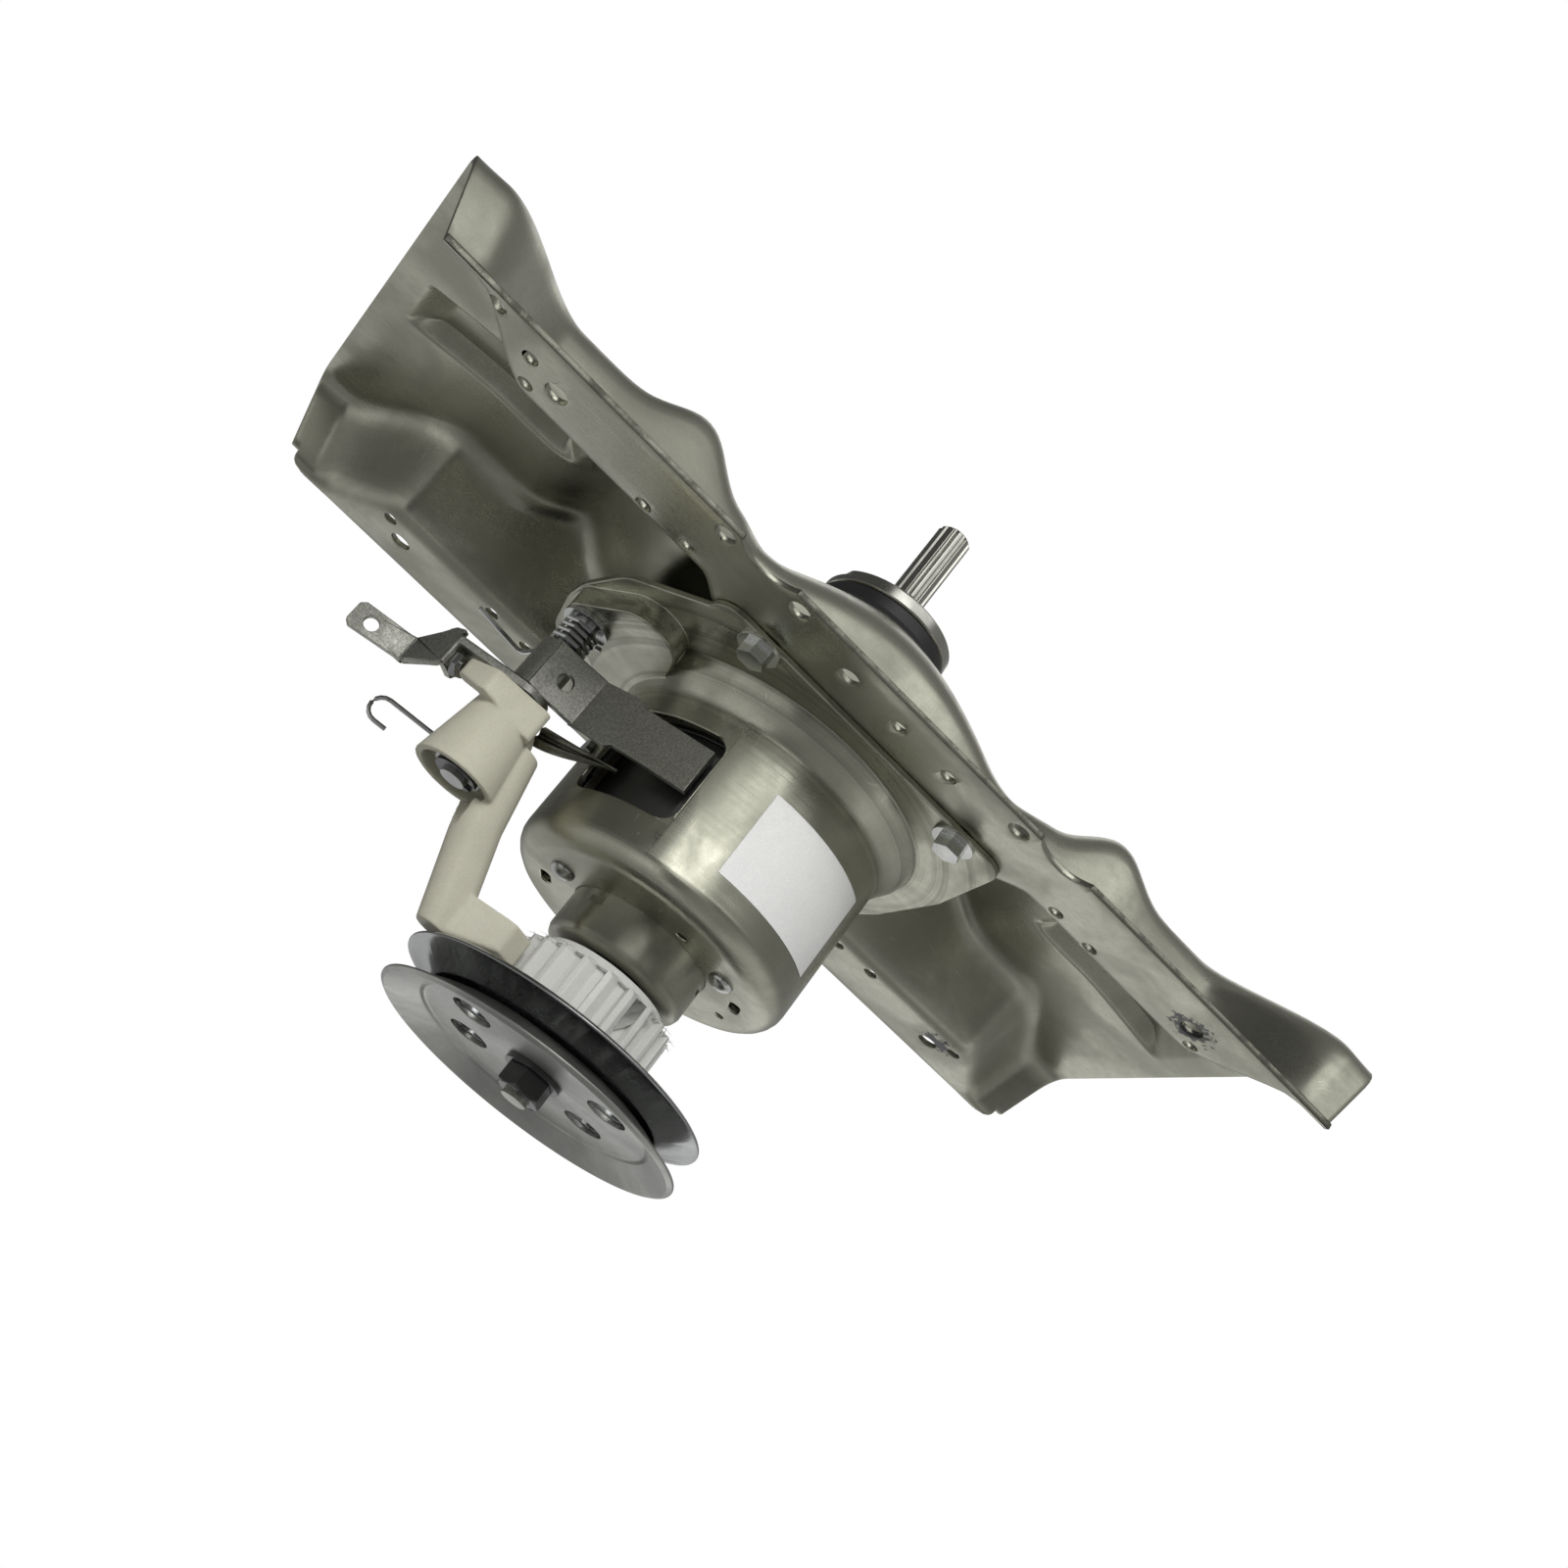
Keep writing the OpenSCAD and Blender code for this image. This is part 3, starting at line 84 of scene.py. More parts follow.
class Tint(Enum):
    """Base colours of the clutch's metals, plastics and paper, linear."""

    PRESSED_STEEL = (0.42, 0.42, 0.345)
    DRAWN_STEEL = (0.46, 0.46, 0.375)
    SHADED_CAP_STEEL = (0.38, 0.38, 0.31)
    # Darker than the drawn housing steel: painted shade, for the shade under the cup
    GROUND_STEEL = (0.48, 0.475, 0.43)
    BRIGHT_ZINC = (0.50, 0.51, 0.50)
    BOLT_ZINC = (0.60, 0.61, 0.585)
    DULL_ZINC = (0.50, 0.50, 0.45)
    PULLEY_ZINC = (0.40, 0.405, 0.38)
    GROOVE_STEEL = (0.40, 0.41, 0.41)
    OILED_STEEL = (0.10, 0.10, 0.10)
    BAND_STEEL = (0.16, 0.16, 0.155)
    TONGUE_STEEL = (0.17, 0.17, 0.135)
    BRONZE = (0.46, 0.30, 0.14)
    LINING = (0.05, 0.038, 0.025)
    BLACK = (0.012, 0.012, 0.012)
    PAWL_NYLON = (0.54, 0.525, 0.425)
    RATCHET_NYLON = (0.64, 0.64, 0.61)
    GEAR_NYLON = (0.72, 0.70, 0.62)
    PAPER = (0.80, 0.80, 0.79)


class Lay(Enum):
    """Direction of the fine tool marks on a metal."""

    ROLLED = "rolled"
    TURNED = "turned"


class Graph:
    """A small helper that adds and links shader nodes."""

    # Places of the two colours and of the mixed colour among a Mix node's sockets
    MIX_COLOURS = (6, 7)
    MIX_RESULT = 2

    def __init__(self, tree: bpy.types.NodeTree) -> None:
        """Keeps the tree that nodes go into.

        Args:
            tree: The node tree of a material, group or world.
        """
        self.tree = tree

    def feed(self, value: object, socket: bpy.types.NodeSocket) -> None:
        """Links a socket into another, or sets anything else as its value.

        Args:
            value: A socket, number, vector or colour.
            socket: The input that takes it.
        """
        if isinstance(value, bpy.types.NodeSocket):
            self.tree.links.new(value, socket)
        else:
            socket.default_value = value

    def add(self, kind: str, settings: dict | None = None, **inputs: object) -> bpy.types.Node:
        """Adds a node, sets its properties and feeds its inputs.

        Args:
            kind: Node type without the ShaderNode prefix.
            settings: Properties of the node itself.
            **inputs: Socket names with _ for spaces, or i0, i1 for places. A socket is
                linked and anything else becomes the socket's value.

        Returns:
            The new node.
        """
        prefix = "" if kind.startswith("NodeGroup") else "ShaderNode"
        node = self.tree.nodes.new(prefix + kind)
        for name, value in (settings or {}).items():
            setattr(node, name, value)
        for name, value in inputs.items():
            by_place = name[0] == "i" and name[1:].isdigit()
            self.feed(value, node.inputs[int(name[1:]) if by_place else name.replace("_", " ")])
        return node

    def place(self) -> bpy.types.NodeSocket:
        """Place on the piece, as Object coordinates."""
        return self.add("TexCoord").outputs["Object"]

    def math(self, operation: str, a: object, b: object = 0.0, clamp: bool = False) -> bpy.types.NodeSocket:
        """Adds a Math node.

        Args:
            operation: Name of the operation.
            a: First number or socket.
            b: Second number or socket.
            clamp: Whether the result is kept between 0 and 1.

        Returns:
            The result's socket.
        """
        return self.add("Math", {"operation": operation, "use_clamp": clamp}, i0=a, i1=b).outputs[0]

    def vector(self, operation: str, *terms: object) -> bpy.types.NodeSocket:
        """Adds a Vector Math node.

        Args:
            operation: Name of the operation.
            *terms: Vectors or sockets that it works on.

        Returns:
            The result's socket.
        """
        node = self.add("VectorMath", {"operation": operation})
        for place, term in enumerate(terms):
            self.feed(term, node.inputs[place])
        return node.outputs["Value" if operation in ("DISTANCE", "LENGTH", "DOT_PRODUCT") else "Vector"]

    def noise(self, place: object, scale: object, detail: float, roughness: float = 0.5,
              distortion: float = 0.0) -> bpy.types.NodeSocket:
        """Adds a Noise Texture node.

        Args:
            place: Socket of the place that is read.
            scale: Fineness of the noise.
            detail: How many finer layers are added.
            roughness: Weight of the finer layers.
            distortion: How far the places are warped.

        Returns:
            The socket of the noise, from 0 to 1.
        """
        node = self.add("TexNoise", Vector=place, Scale=scale, Detail=detail, Roughness=roughness,
                        Distortion=distortion)
        return node.outputs["Fac"]

    def ramp(self, value: object, low: float, high: float, to_low: float = 0.0,
             to_high: float = 1.0) -> bpy.types.NodeSocket:
        """Maps a range of values smoothly onto another.

        Args:
            value: The number or socket to map.
            low: Lower end of the range that is read.
            high: Upper end of the range that is read.
            to_low: Result at the lower end.
            to_high: Result at the upper end.

        Returns:
            The result's socket.
        """
        ends = {"From_Min": low, "From_Max": high, "To_Min": to_low, "To_Max": to_high}
        return self.add("MapRange", {"interpolation_type": "SMOOTHSTEP"}, Value=value, **ends).outputs[0]

    def mix(self, factor: object, *colours: object) -> bpy.types.NodeSocket:
        """Mixes two colours.

        Args:
            factor: Share of the second colour.
            *colours: Both colours, each as red, green and blue or as a socket.

        Returns:
            The mixed colour's socket.
        """
        node = self.add("Mix", {"data_type": "RGBA"}, i0=factor)
        for place, colour in zip(self.MIX_COLOURS, colours, strict=True):
            self.feed((*colour, 1.0) if isinstance(colour, tuple) else colour, node.inputs[place])
        return node.outputs[self.MIX_RESULT]


class EffectGroup(Graph):
    """A shader node group with named float inputs and outputs."""

    def __init__(self, name: str, inputs: dict[str, float], outputs: Sequence[str]) -> None:
        """Starts the group.

        Args:
            name: The group's name.
            inputs: Names and defaults of its inputs.
            outputs: Names of its outputs.
        """
        super().__init__(bpy.data.node_groups.new(name, "ShaderNodeTree"))
        for label, default in inputs.items():
            self.socket(label, "INPUT").default_value = default
        for label in outputs:
            self.socket(label, "OUTPUT")
        self.start = self.add("NodeGroupInput").outputs
        self.end = self.add("NodeGroupOutput").inputs

    def socket(self, label: str, side: str) -> bpy.types.NodeTreeInterfaceSocket:
        """Names a float socket on the INPUT or OUTPUT side of the group."""
        return self.tree.interface.new_socket(name=label, in_out=side, socket_type="NodeSocketFloat")


class Effects:
    """Shared surface effects, each a node group that is built once."""

    # Turn in radians of each direction of scratches, and how much finer it is across them
    SCRATCH_RUNS = ((0.5, 26.0), (1.7, 34.0), (2.6, 30.0))
    # How much finer the mottle and the grain are than the slow changes of tone
    MOTTLE_FINER = 9.0
    GRAIN_FINER = 55.0
    # How much the marks of rolled sheet stretch along it
    ROLLED_STRETCH = 0.08

    def __init__(self) -> None:
        """Builds every group."""
        self.scratches = self._scratches()
        self.smudges = self._smudges()
        self.marks = {lay: self._tool_marks(lay) for lay in Lay}

    def _scratches(self) -> bpy.types.NodeTree:
        """Fine handling scratches in three directions.

        Returns:
            The group, with a Mask that is 1 on a scratch.
        """
        g = EffectGroup("handling_scratches", {"Density": 1.0, "Scale": 40.0}, ["Mask"])
        place = g.place()
        total: object = 0.0
        for turn, finer in self.SCRATCH_RUNS:
            turned = (turn, turn * 0.7, turn * 1.3)
            mapped = g.add("Mapping", Vector=place, Rotation=turned, Scale=(1.0, finer, 3.0)).outputs[0]
            warp = g.add("TexNoise", Vector=place, Scale=9.0, Detail=1.0).outputs["Color"]
            bent = g.vector("MULTIPLY_ADD", warp, (0.05, 0.9, 0.05), mapped)
            lines = g.noise(bent, g.start["Scale"], detail=2.0, roughness=0.6)
            total = g.math("MAXIMUM", total, g.ramp(lines, 0.70, 0.76))
        patches = g.noise(place, 22.0, detail=2.0)
        patchy = g.math("MULTIPLY", total, g.ramp(patches, 0.42, 0.62))
        g.feed(g.math("MULTIPLY", patchy, g.start["Density"], clamp=True), g.end["Mask"])
        return g.tree

    def _smudges(self) -> bpy.types.NodeTree:
        """Slow changes of tone from oil, handling and the plating bath.

        Returns:
            The group, with a Tone around 0.5, a finer Mottle and a very fine Grain.
        """
        g = EffectGroup("plating_smudges", {"Scale": 30.0}, ["Tone", "Mottle", "Grain"])
        place, scale = g.place(), g.start["Scale"]
        mottle_scale = g.math("MULTIPLY", scale, self.MOTTLE_FINER)
        grain_scale = g.math("MULTIPLY", scale, self.GRAIN_FINER)
        tone = g.noise(place, scale, detail=3.0, roughness=0.55, distortion=0.6)
        mottle = g.noise(place, mottle_scale, detail=5.0, roughness=0.7)
        grain = g.noise(place, grain_scale, detail=2.0, roughness=0.6)
        g.feed(g.ramp(tone, 0.3, 0.7), g.end["Tone"])
        g.feed(mottle, g.end["Mottle"])
        g.feed(g.ramp(grain, 0.38, 0.62), g.end["Grain"])
        return g.tree

    def _tool_marks(self, lay: Lay) -> bpy.types.NodeTree:
        """Fine marks along the sheet's rolling direction, or round the shaft's axis.

        Args:
            lay: Which way the marks run.

        Returns:
            The group, with a Height.
        """
        g = EffectGroup(f"{lay.value}_marks", {"Scale": 900.0}, ["Height"])
        place = g.place()
        if lay is Lay.TURNED:
            x, y, z = g.add("SeparateXYZ", Vector=place).outputs
            square = g.math("ADD", g.math("MULTIPLY", x, x), g.math("MULTIPLY", y, y))
            place = g.add("CombineXYZ", X=g.math("SQRT", square), Y=z).outputs[0]
        else:
            place = g.add("Mapping", Vector=place, Scale=(self.ROLLED_STRETCH, 1.0, 1.0)).outputs[0]
        marks = g.noise(place, g.start["Scale"], detail=3.0, roughness=0.7)
        g.feed(marks, g.end["Height"])
        return g.tree


@dataclass
class Layers:
    """What a finish builds up before it reaches the shader.

    Attributes:
        colour: Socket of the base colour.
        rough: Socket of the roughness.
        normal: Socket of the normal.
    """

    colour: bpy.types.NodeSocket
    rough: bpy.types.NodeSocket
    normal: bpy.types.NodeSocket


@dataclass(frozen=True)
class Finish:
    """A surface finish that can be made into a material.

    Attributes:
        name: The material's name.
        tint: Base colour.
        roughness: Mean roughness.
        metallic: 1 for bare or plated metal.
        spread: How much the smudges change the roughness.
        tone: How much the smudges change the colour.
        smudge_scale: Fineness of the smudges.
        scratches: Density of the scratches.
        scratch_scale: Fineness of the scratches.
        lay: Direction of the tool marks, or None.
        mark_scale: Fineness of the tool marks.
        bump: Height of marks and mottle in millimetres.
        grain: How much a very fine grain darkens the colour.
        rings: Height in millimetres of the drawing rings round the axis.
        ring_scale: Fineness of the drawing rings.
        fillet: Both heights in millimetres between which the rings turn dark.
        blots: Dark blots of sealing paint, as centre and radius in millimetres.
        sheared: Half width in millimetres from which the sheet's torn edge shows.
        brushed: How much the highlights stretch across marks that run round the axis.
        step_r: Radius in millimetres of a shallow pressed step.
        step_half: Half width in millimetres of the step's slope.
        step_rise: Height in millimetres of the step.
        coat: Weight of a clear film, such as oil or gloss.
        coat_roughness: Roughness of the film.
        translucence: Subsurface weight of a moulded plastic.
    """

    name: str
    tint: Tint
    roughness: float = 0.35
    metallic: float = 1.0
    spread: float = 0.14
    tone: float = 0.16
    smudge_scale: float = 34.0
    scratches: float = 0.6
    scratch_scale: float = 45.0
    lay: Lay | None = Lay.ROLLED
    mark_scale: float = 900.0
    bump: float = 0.02
    grain: float = 0.12
    rings: float = 0.0
    ring_scale: float = 260.0
    fillet: tuple[float, float] = (-20.0, -9.0)
    blots: tuple[tuple[Point, float], ...] = ()
    sheared: float = 0.0
    brushed: float = 0.0
    step_r: float = 0.0
    step_half: float = 0.8
    step_rise: float = 1.5
    coat: float = 0.0
    coat_roughness: float = 0.12
    translucence: float = 0.0

    def material(self, effects: Effects) -> bpy.types.Material:
        """Makes the material.

        Args:
            effects: The shared node groups.

        Returns:
            The new material.
        """
        made = bpy.data.materials.new(self.name)
        made.use_nodes = True
        made.diffuse_color = (*self.tint.value, 1.0)
        g = Graph(made.node_tree)
        shader = made.node_tree.nodes["Principled BSDF"].inputs
        shader["Metallic"].default_value = self.metallic
        layers = self.worn(g, effects)
        if self.rings:
            self.add_rings(g, effects, layers)
        if self.blots:
            blot = self.blot_mask(g)
            layers.colour = g.mix(blot, layers.colour, Tint.BLACK.value)
            bare = g.math("SUBTRACT", 1.0, blot)
            g.feed(g.math("MULTIPLY", bare, self.metallic), shader["Metallic"])
        if self.sheared:
            torn = self.torn_mask(g)
            layers.colour = g.mix(torn, layers.colour, self.shade(0.4))
            layers.rough = g.math("MAXIMUM", layers.rough, g.math("MULTIPLY", torn, 0.6))
        if self.brushed:
            g.feed(self.round_axis(g), shader["Tangent"])
            shader["Anisotropic"].default_value = self.brushed
            shader["Anisotropic Rotation"].default_value = 0.25
        if self.step_r:
            self.add_step(g, layers)
        g.feed(layers.colour, shader["Base Color"])
        g.feed(layers.rough, shader["Roughness"])
        g.feed(layers.normal, shader["Normal"])
        shader["Coat Weight"].default_value = self.coat
        shader["Coat Roughness"].default_value = self.coat_roughness
        if self.translucence:
            shader["Subsurface Weight"].default_value = self.translucence
            shader["Subsurface Scale"].default_value = 2 * MM
            shader["Subsurface Radius"].default_value = (1.0, 0.9, 0.7)
        return made

    def shade(self, share: float) -> Point:
        """The base colour made darker or lighter by a share."""
        return tuple(min(1.0, c * share) for c in self.tint.value)

    def sway(self, g: Graph, rough: object, signal: object) -> bpy.types.NodeSocket:
        """Changes a roughness by how far a signal is from its middle.

        Args:
            g: The material's graph.
            rough: The roughness so far.
            signal: A socket around 0.5.

        Returns:
            The new roughness.
        """
        change = g.math("MULTIPLY", g.math("SUBTRACT", signal, 0.5), self.spread)
        return g.math("ADD", rough, change, clamp=True)

    def worn(self, g: Graph, effects: Effects) -> Layers:
        """Lays smudges, specks, grain, scratches and tool marks over the base colour.

        Args:
            g: The material's graph.
            effects: The shared node groups.

        Returns:
            The colour, roughness and normal so far.
        """
        smudge = g.add("Group", {"node_tree": effects.smudges}, Scale=self.smudge_scale).outputs
        scratch = g.add("Group", {"node_tree": effects.scratches}, Density=self.scratches,
                        Scale=self.scratch_scale).outputs["Mask"]
        speck_share, scratch_share = (0.86, 1.45) if self.metallic else (0.94, 1.12)
        colour = g.mix(smudge["Tone"], self.shade(1 - self.tone), self.shade(1 + self.tone))
        speck = g.ramp(smudge["Mottle"], 0.35, 0.7, to_high=0.35)
        colour = g.mix(speck, colour, self.shade(speck_share))
        colour = g.mix(g.math("MULTIPLY", smudge["Grain"], self.grain), colour, self.shade(0.45))
        colour = g.mix(scratch, colour, self.shade(scratch_share))
        half = self.spread / 2
        rough = g.ramp(smudge["Tone"], 0.0, 1.0, self.roughness + half, self.roughness - half)
        rough = self.sway(g, rough, smudge["Mottle"])
        height = g.math("ADD", g.math("MULTIPLY", smudge["Mottle"], 0.5), g.math("MULTIPLY", scratch, -0.8))
        if self.lay is not None:
            marks = {"node_tree": effects.marks[self.lay]}
            line = g.add("Group", marks, Scale=self.mark_scale).outputs["Height"]
            height = g.math("ADD", height, line)
            rough = self.sway(g, rough, line)
        bump = g.add("Bump", Strength=0.6, Distance=self.bump * MM, Height=height)
        return Layers(colour, rough, bump.outputs[0])

    def add_rings(self, g: Graph, effects: Effects, layers: Layers) -> None:
        """Draws rings round the axis, dark in the fillet under a flange.

        Args:
            g: The material's graph.
            effects: The shared node groups.
            layers: What the rings change.
        """
        marks = {"node_tree": effects.marks[Lay.TURNED]}
        ring = g.add("Group", marks, Scale=self.ring_scale).outputs["Height"]
        bump = g.add("Bump", Strength=0.8, Distance=self.rings * MM, Height=ring, Normal=layers.normal)
        layers.normal = bump.outputs[0]
        level = g.add("SeparateXYZ", Vector=g.place()).outputs[2]
        fillet = g.ramp(level, *(z * MM for z in self.fillet))
        drawn = g.math("MULTIPLY", g.ramp(ring, 0.48, 0.60, to_high=0.55), fillet)
        layers.colour = g.mix(drawn, layers.colour, self.shade(0.4))

    def add_step(self, g: Graph, layers: Layers) -> None:
        """Presses a shallow step round the axis into the surface.

        Args:
            g: The material's graph.
            layers: What the step changes.
        """
        radius = g.vector("LENGTH", g.vector("MULTIPLY", g.place(), (1, 1, 0)))
        rise = g.ramp(radius, (self.step_r - self.step_half) * MM, (self.step_r + self.step_half) * MM)
        bump = g.add("Bump", Strength=1.0, Distance=self.step_rise * MM, Height=rise, Normal=layers.normal)
        layers.normal = bump.outputs[0]

    def round_axis(self, g: Graph) -> bpy.types.NodeSocket:
        """Finds the direction round the clutch's axis.

        Args:
            g: The material's graph.

        Returns:
            The direction's socket, in world space.
        """
        spaces = {"vector_type": "VECTOR", "convert_from": "OBJECT", "convert_to": "WORLD"}
        around = g.vector("CROSS_PRODUCT", AXIS, g.place())
        return g.add("VectorTransform", spaces, i0=around).outputs[0]

    def torn_mask(self, g: Graph) -> bpy.types.NodeSocket:
        """Dark streaks on the sheared edges along the length.

        Args:
            g: The material's graph.

        Returns:
            The mask's socket, 1 where the edge is torn.
        """
        place = g.place()
        reach = g.math("ABSOLUTE", g.add("SeparateXYZ", Vector=place).outputs[1])
        edge = g.ramp(reach, (self.sheared - 0.3) * MM, self.sheared * MM)
        ragged = g.noise(place, 150.0, detail=4.0, roughness=0.8)
        return g.math("MULTIPLY", edge, g.ramp(ragged, 0.35, 0.6, to_low=1.0, to_high=0.55))

    def blot_mask(self, g: Graph) -> bpy.types.NodeSocket:
        """Ragged spots round the blots' centres.

        Args:
            g: The material's graph.

        Returns:
            The mask's socket, 1 inside a blot.
        """
        place = g.place()
        ragged = g.math("MULTIPLY", g.noise(place, 420.0, detail=4.0, roughness=0.7), 2.4)
        total: object = 0.0
        for centre, radius in self.blots:
            near = g.vector("DISTANCE", place, Vector(centre) * MM)
            reach = g.math("ADD", g.math("MULTIPLY", near, 1 / (radius * MM)), ragged)
            total = g.math("MAXIMUM", total, g.ramp(reach, 1.95, 1.75))
        return total


class Finishes:
    """All finishes of the clutch, made once and handed out by name."""

    def __init__(self) -> None:
        """Builds the effects and the materials."""
        effects = Effects()
        listed = (
            Finish("pressed_bracket_steel", Tint.PRESSED_STEEL, 0.34, scratches=0.7, sheared=87.3,
                   blots=(((121.5, -72, 0), 9), ((122.5, 67, 0), 8), ((-68.4, -82.6, 0), 3.5))),
            Finish("drawn_housing_steel", Tint.DRAWN_STEEL, 0.30, lay=Lay.TURNED, scratches=0.9,
                   rings=0.10),
            # The cap's darker tint is painted shade under the cup; its turned and brushed marks are its own
            Finish("shaded_drawn_cap_steel", Tint.SHADED_CAP_STEEL, 0.38, lay=Lay.TURNED, scratches=0.5, brushed=0.95),
            Finish("turned_steel", Tint.GROUND_STEEL, 0.24, lay=Lay.TURNED, scratches=0.2),
            Finish("bright_zinc", Tint.BRIGHT_ZINC, 0.25, lay=None, scratches=0.4),
            Finish("bolt_zinc", Tint.BOLT_ZINC, 0.24, lay=None, scratches=0.3, spread=0.1, grain=0.2),
            Finish("dull_zinc", Tint.DULL_ZINC, 0.46, spread=0.16, grain=0.6, bump=0.04),
            Finish("pulley_face_zinc", Tint.PULLEY_ZINC, 0.36, lay=Lay.TURNED, scratches=0.5,
                   brushed=0.5, step_r=38.0),
            Finish("pulley_groove_steel", Tint.GROOVE_STEEL, 0.22, lay=Lay.TURNED, scratches=0.2,
                   brushed=0.7),
            Finish("oiled_steel", Tint.OILED_STEEL, 0.36, lay=None, scratches=0.3, coat=0.3),
            Finish("brake_band_steel", Tint.BAND_STEEL, 0.4),
            Finish("brake_tongue_steel", Tint.TONGUE_STEEL, 0.3, scratches=0.5, grain=0.3),
            Finish("ball_steel", Tint.GROUND_STEEL, 0.12, lay=None, scratches=0.0),
            Finish("spring_wire", Tint.BRIGHT_ZINC, 0.22, lay=None, scratches=0.0),
            Finish("sintered_bronze", Tint.BRONZE, 0.4, lay=Lay.TURNED),
            Finish("seal_rubber", Tint.BLACK, 0.42, metallic=0.0, lay=Lay.TURNED, scratches=0.1, tone=0.3),
            Finish("friction_lining", Tint.LINING, 0.85, metallic=0.0, lay=None, scratches=0.2, bump=0.2),
            Finish("pawl_nylon", Tint.PAWL_NYLON, 0.40, metallic=0.0, lay=None, scratches=0.25, tone=0.05,
                   bump=0.05, translucence=0.25),
            Finish("ratchet_nylon", Tint.RATCHET_NYLON, 0.38, metallic=0.0, lay=None, scratches=0.1,
                   tone=0.03, bump=0.03, translucence=0.25),
            Finish("gear_nylon", Tint.GEAR_NYLON, 0.4, metallic=0.0, lay=None, scratches=0.1, tone=0.04,
                   translucence=0.2),
            Finish("label_paper", Tint.PAPER, 0.34, metallic=0.0, lay=None, scratches=0.15, tone=0.03,
                   coat=0.2),
        )
        self.made = {f.name: f.material(effects) for f in listed}

    def __getitem__(self, name: str) -> bpy.types.Material:
        """Gives a material by name."""
        return self.made[name]


# Modelling


@dataclass(frozen=True)
class Eased:
    """How a CAD node's edges are eased.

    Attributes:
        node: The CAD node.
        finish: Name of its finish.
        width: Width of an eased edge in millimetres.
        segments: Steps across an eased edge.
    """

    node: str
    finish: str
    width: float
    segments: int = 2


class Bench:
    """Modelling moves that every sub-assembly uses."""

    # Edges sharper than this are eased and kept crisp, in degrees
    EASED_ANGLE = 34.0

    def __init__(self, frame: dict, finishes: Finishes) -> None:
        """Keeps the frame and the finishes.

        Args:
            finishes: The materials.
        """
        self.nodes: dict[str, bpy.types.Object] = frame["nodes"]
        self.finishes = finishes
        self.slots = {row["node"]: row["material_slot"] for row in frame["record"]["subparts"]}

    @staticmethod
    def focus(obj: bpy.types.Object) -> None:
        """Makes an object the only selected one, and the active one.

        Args:
            obj: The object.
        """
        bpy.ops.object.select_all(action="DESELECT")
        obj.select_set(True)
        bpy.context.view_layer.objects.active = obj

    @contextmanager
    def editing(self, obj: bpy.types.Object) -> Iterator[None]:
        """Runs edit mode on obj with all of its mesh selected.

        Args:
            obj: The object to edit.

        Yields:
            Nothing.
        """
        self.focus(obj)
        bpy.ops.object.mode_set(mode="EDIT")
        bpy.ops.mesh.select_all(action="SELECT")
        yield
        bpy.ops.object.mode_set(mode="OBJECT")

    def modify(self, obj: bpy.types.Object, kind: str, **settings: object) -> None:
        """Adds a modifier and applies it.

        Args:
            obj: The object to change.
            kind: The modifier's type.
            **settings: The modifier's properties.
        """
        modifier = obj.modifiers.new(kind.lower(), kind)
        for name, value in settings.items():
            setattr(modifier, name, value)
        self.focus(obj)
        bpy.ops.object.modifier_apply(modifier=modifier.name)

    def smooth(self, obj: bpy.types.Object, angle: float) -> None:
        """Shades obj smooth, with edges sharper than angle degrees kept crisp."""
        self.focus(obj)
        bpy.ops.object.shade_smooth_by_angle(angle=math.radians(angle))

    def face_outwards(self, obj: bpy.types.Object, merge: bool = False) -> None:
        """Turns every face of a mesh outwards.

        Args:
            obj: The object.
            merge: Whether points that meet are merged first.
        """
        with self.editing(obj):
            if merge:
                bpy.ops.mesh.remove_doubles(threshold=1e-6)
            bpy.ops.mesh.normals_make_consistent(inside=False)

    def bevel(self, obj: bpy.types.Object, width: float, segments: int, angle: float) -> None:
        """Eases the sharp edges of a piece.

        Args:
            obj: The piece.
            width: Width of an eased edge in millimetres.
            segments: Steps across it.
            angle: Edges sharper than this are eased, in degrees.
        """
        self.modify(obj, "BEVEL", width=width * MM, segments=segments, limit_method="ANGLE",
                    angle_limit=math.radians(angle), use_clamp_overlap=False)

    def copy_of(self, node: str) -> bpy.types.Object:
        """A merged copy of a CAD node's mesh, free to be worked on.

        Args:
            node: The CAD node.

        Returns:
            The copy.
        """
        obj = bpy.data.objects.new(f"{node}_finished", self.nodes[node].data.copy())
        bpy.context.scene.collection.objects.link(obj)
        with self.editing(obj):
            bpy.ops.mesh.remove_doubles(threshold=2e-6)
            bpy.ops.mesh.customdata_custom_splitnormals_clear()
            bpy.ops.mesh.dissolve_limited(angle_limit=math.radians(0.6))
        return obj

    def place(self, obj: bpy.types.Object, finish: str, body: str, *nodes: str) -> None:
        """Dresses a finished piece and fixes it to its body.

        Args:
            obj: The piece.
            finish: Name of its finish.
            body: CAD body that it rides on.
            *nodes: CAD nodes that it stands for.
        """
        obj.data.materials.clear()
        obj.data.materials.append(self.finishes[finish])
        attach(obj, body)
        if nodes:
            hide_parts(*nodes)
        LOG.info("%s: %d faces on %s", obj.name, len(obj.data.polygons), body)

    def ease(self, *pieces: Eased) -> bpy.types.Object:
        """Stands copies with eased edges in for CAD nodes.

        Args:
            *pieces: How each node is eased.

        Returns:
            The last of the new pieces.
        """
        for piece in pieces:
            obj = self.copy_of(piece.node)
            if piece.width > 0:
                self.bevel(obj, piece.width, piece.segments, self.EASED_ANGLE)
            self.smooth(obj, self.EASED_ANGLE)
            self.modify(obj, "WEIGHTED_NORMAL", keep_sharp=True)
            self.place(obj, piece.finish, self.nodes[piece.node]["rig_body"], piece.node)
        return obj

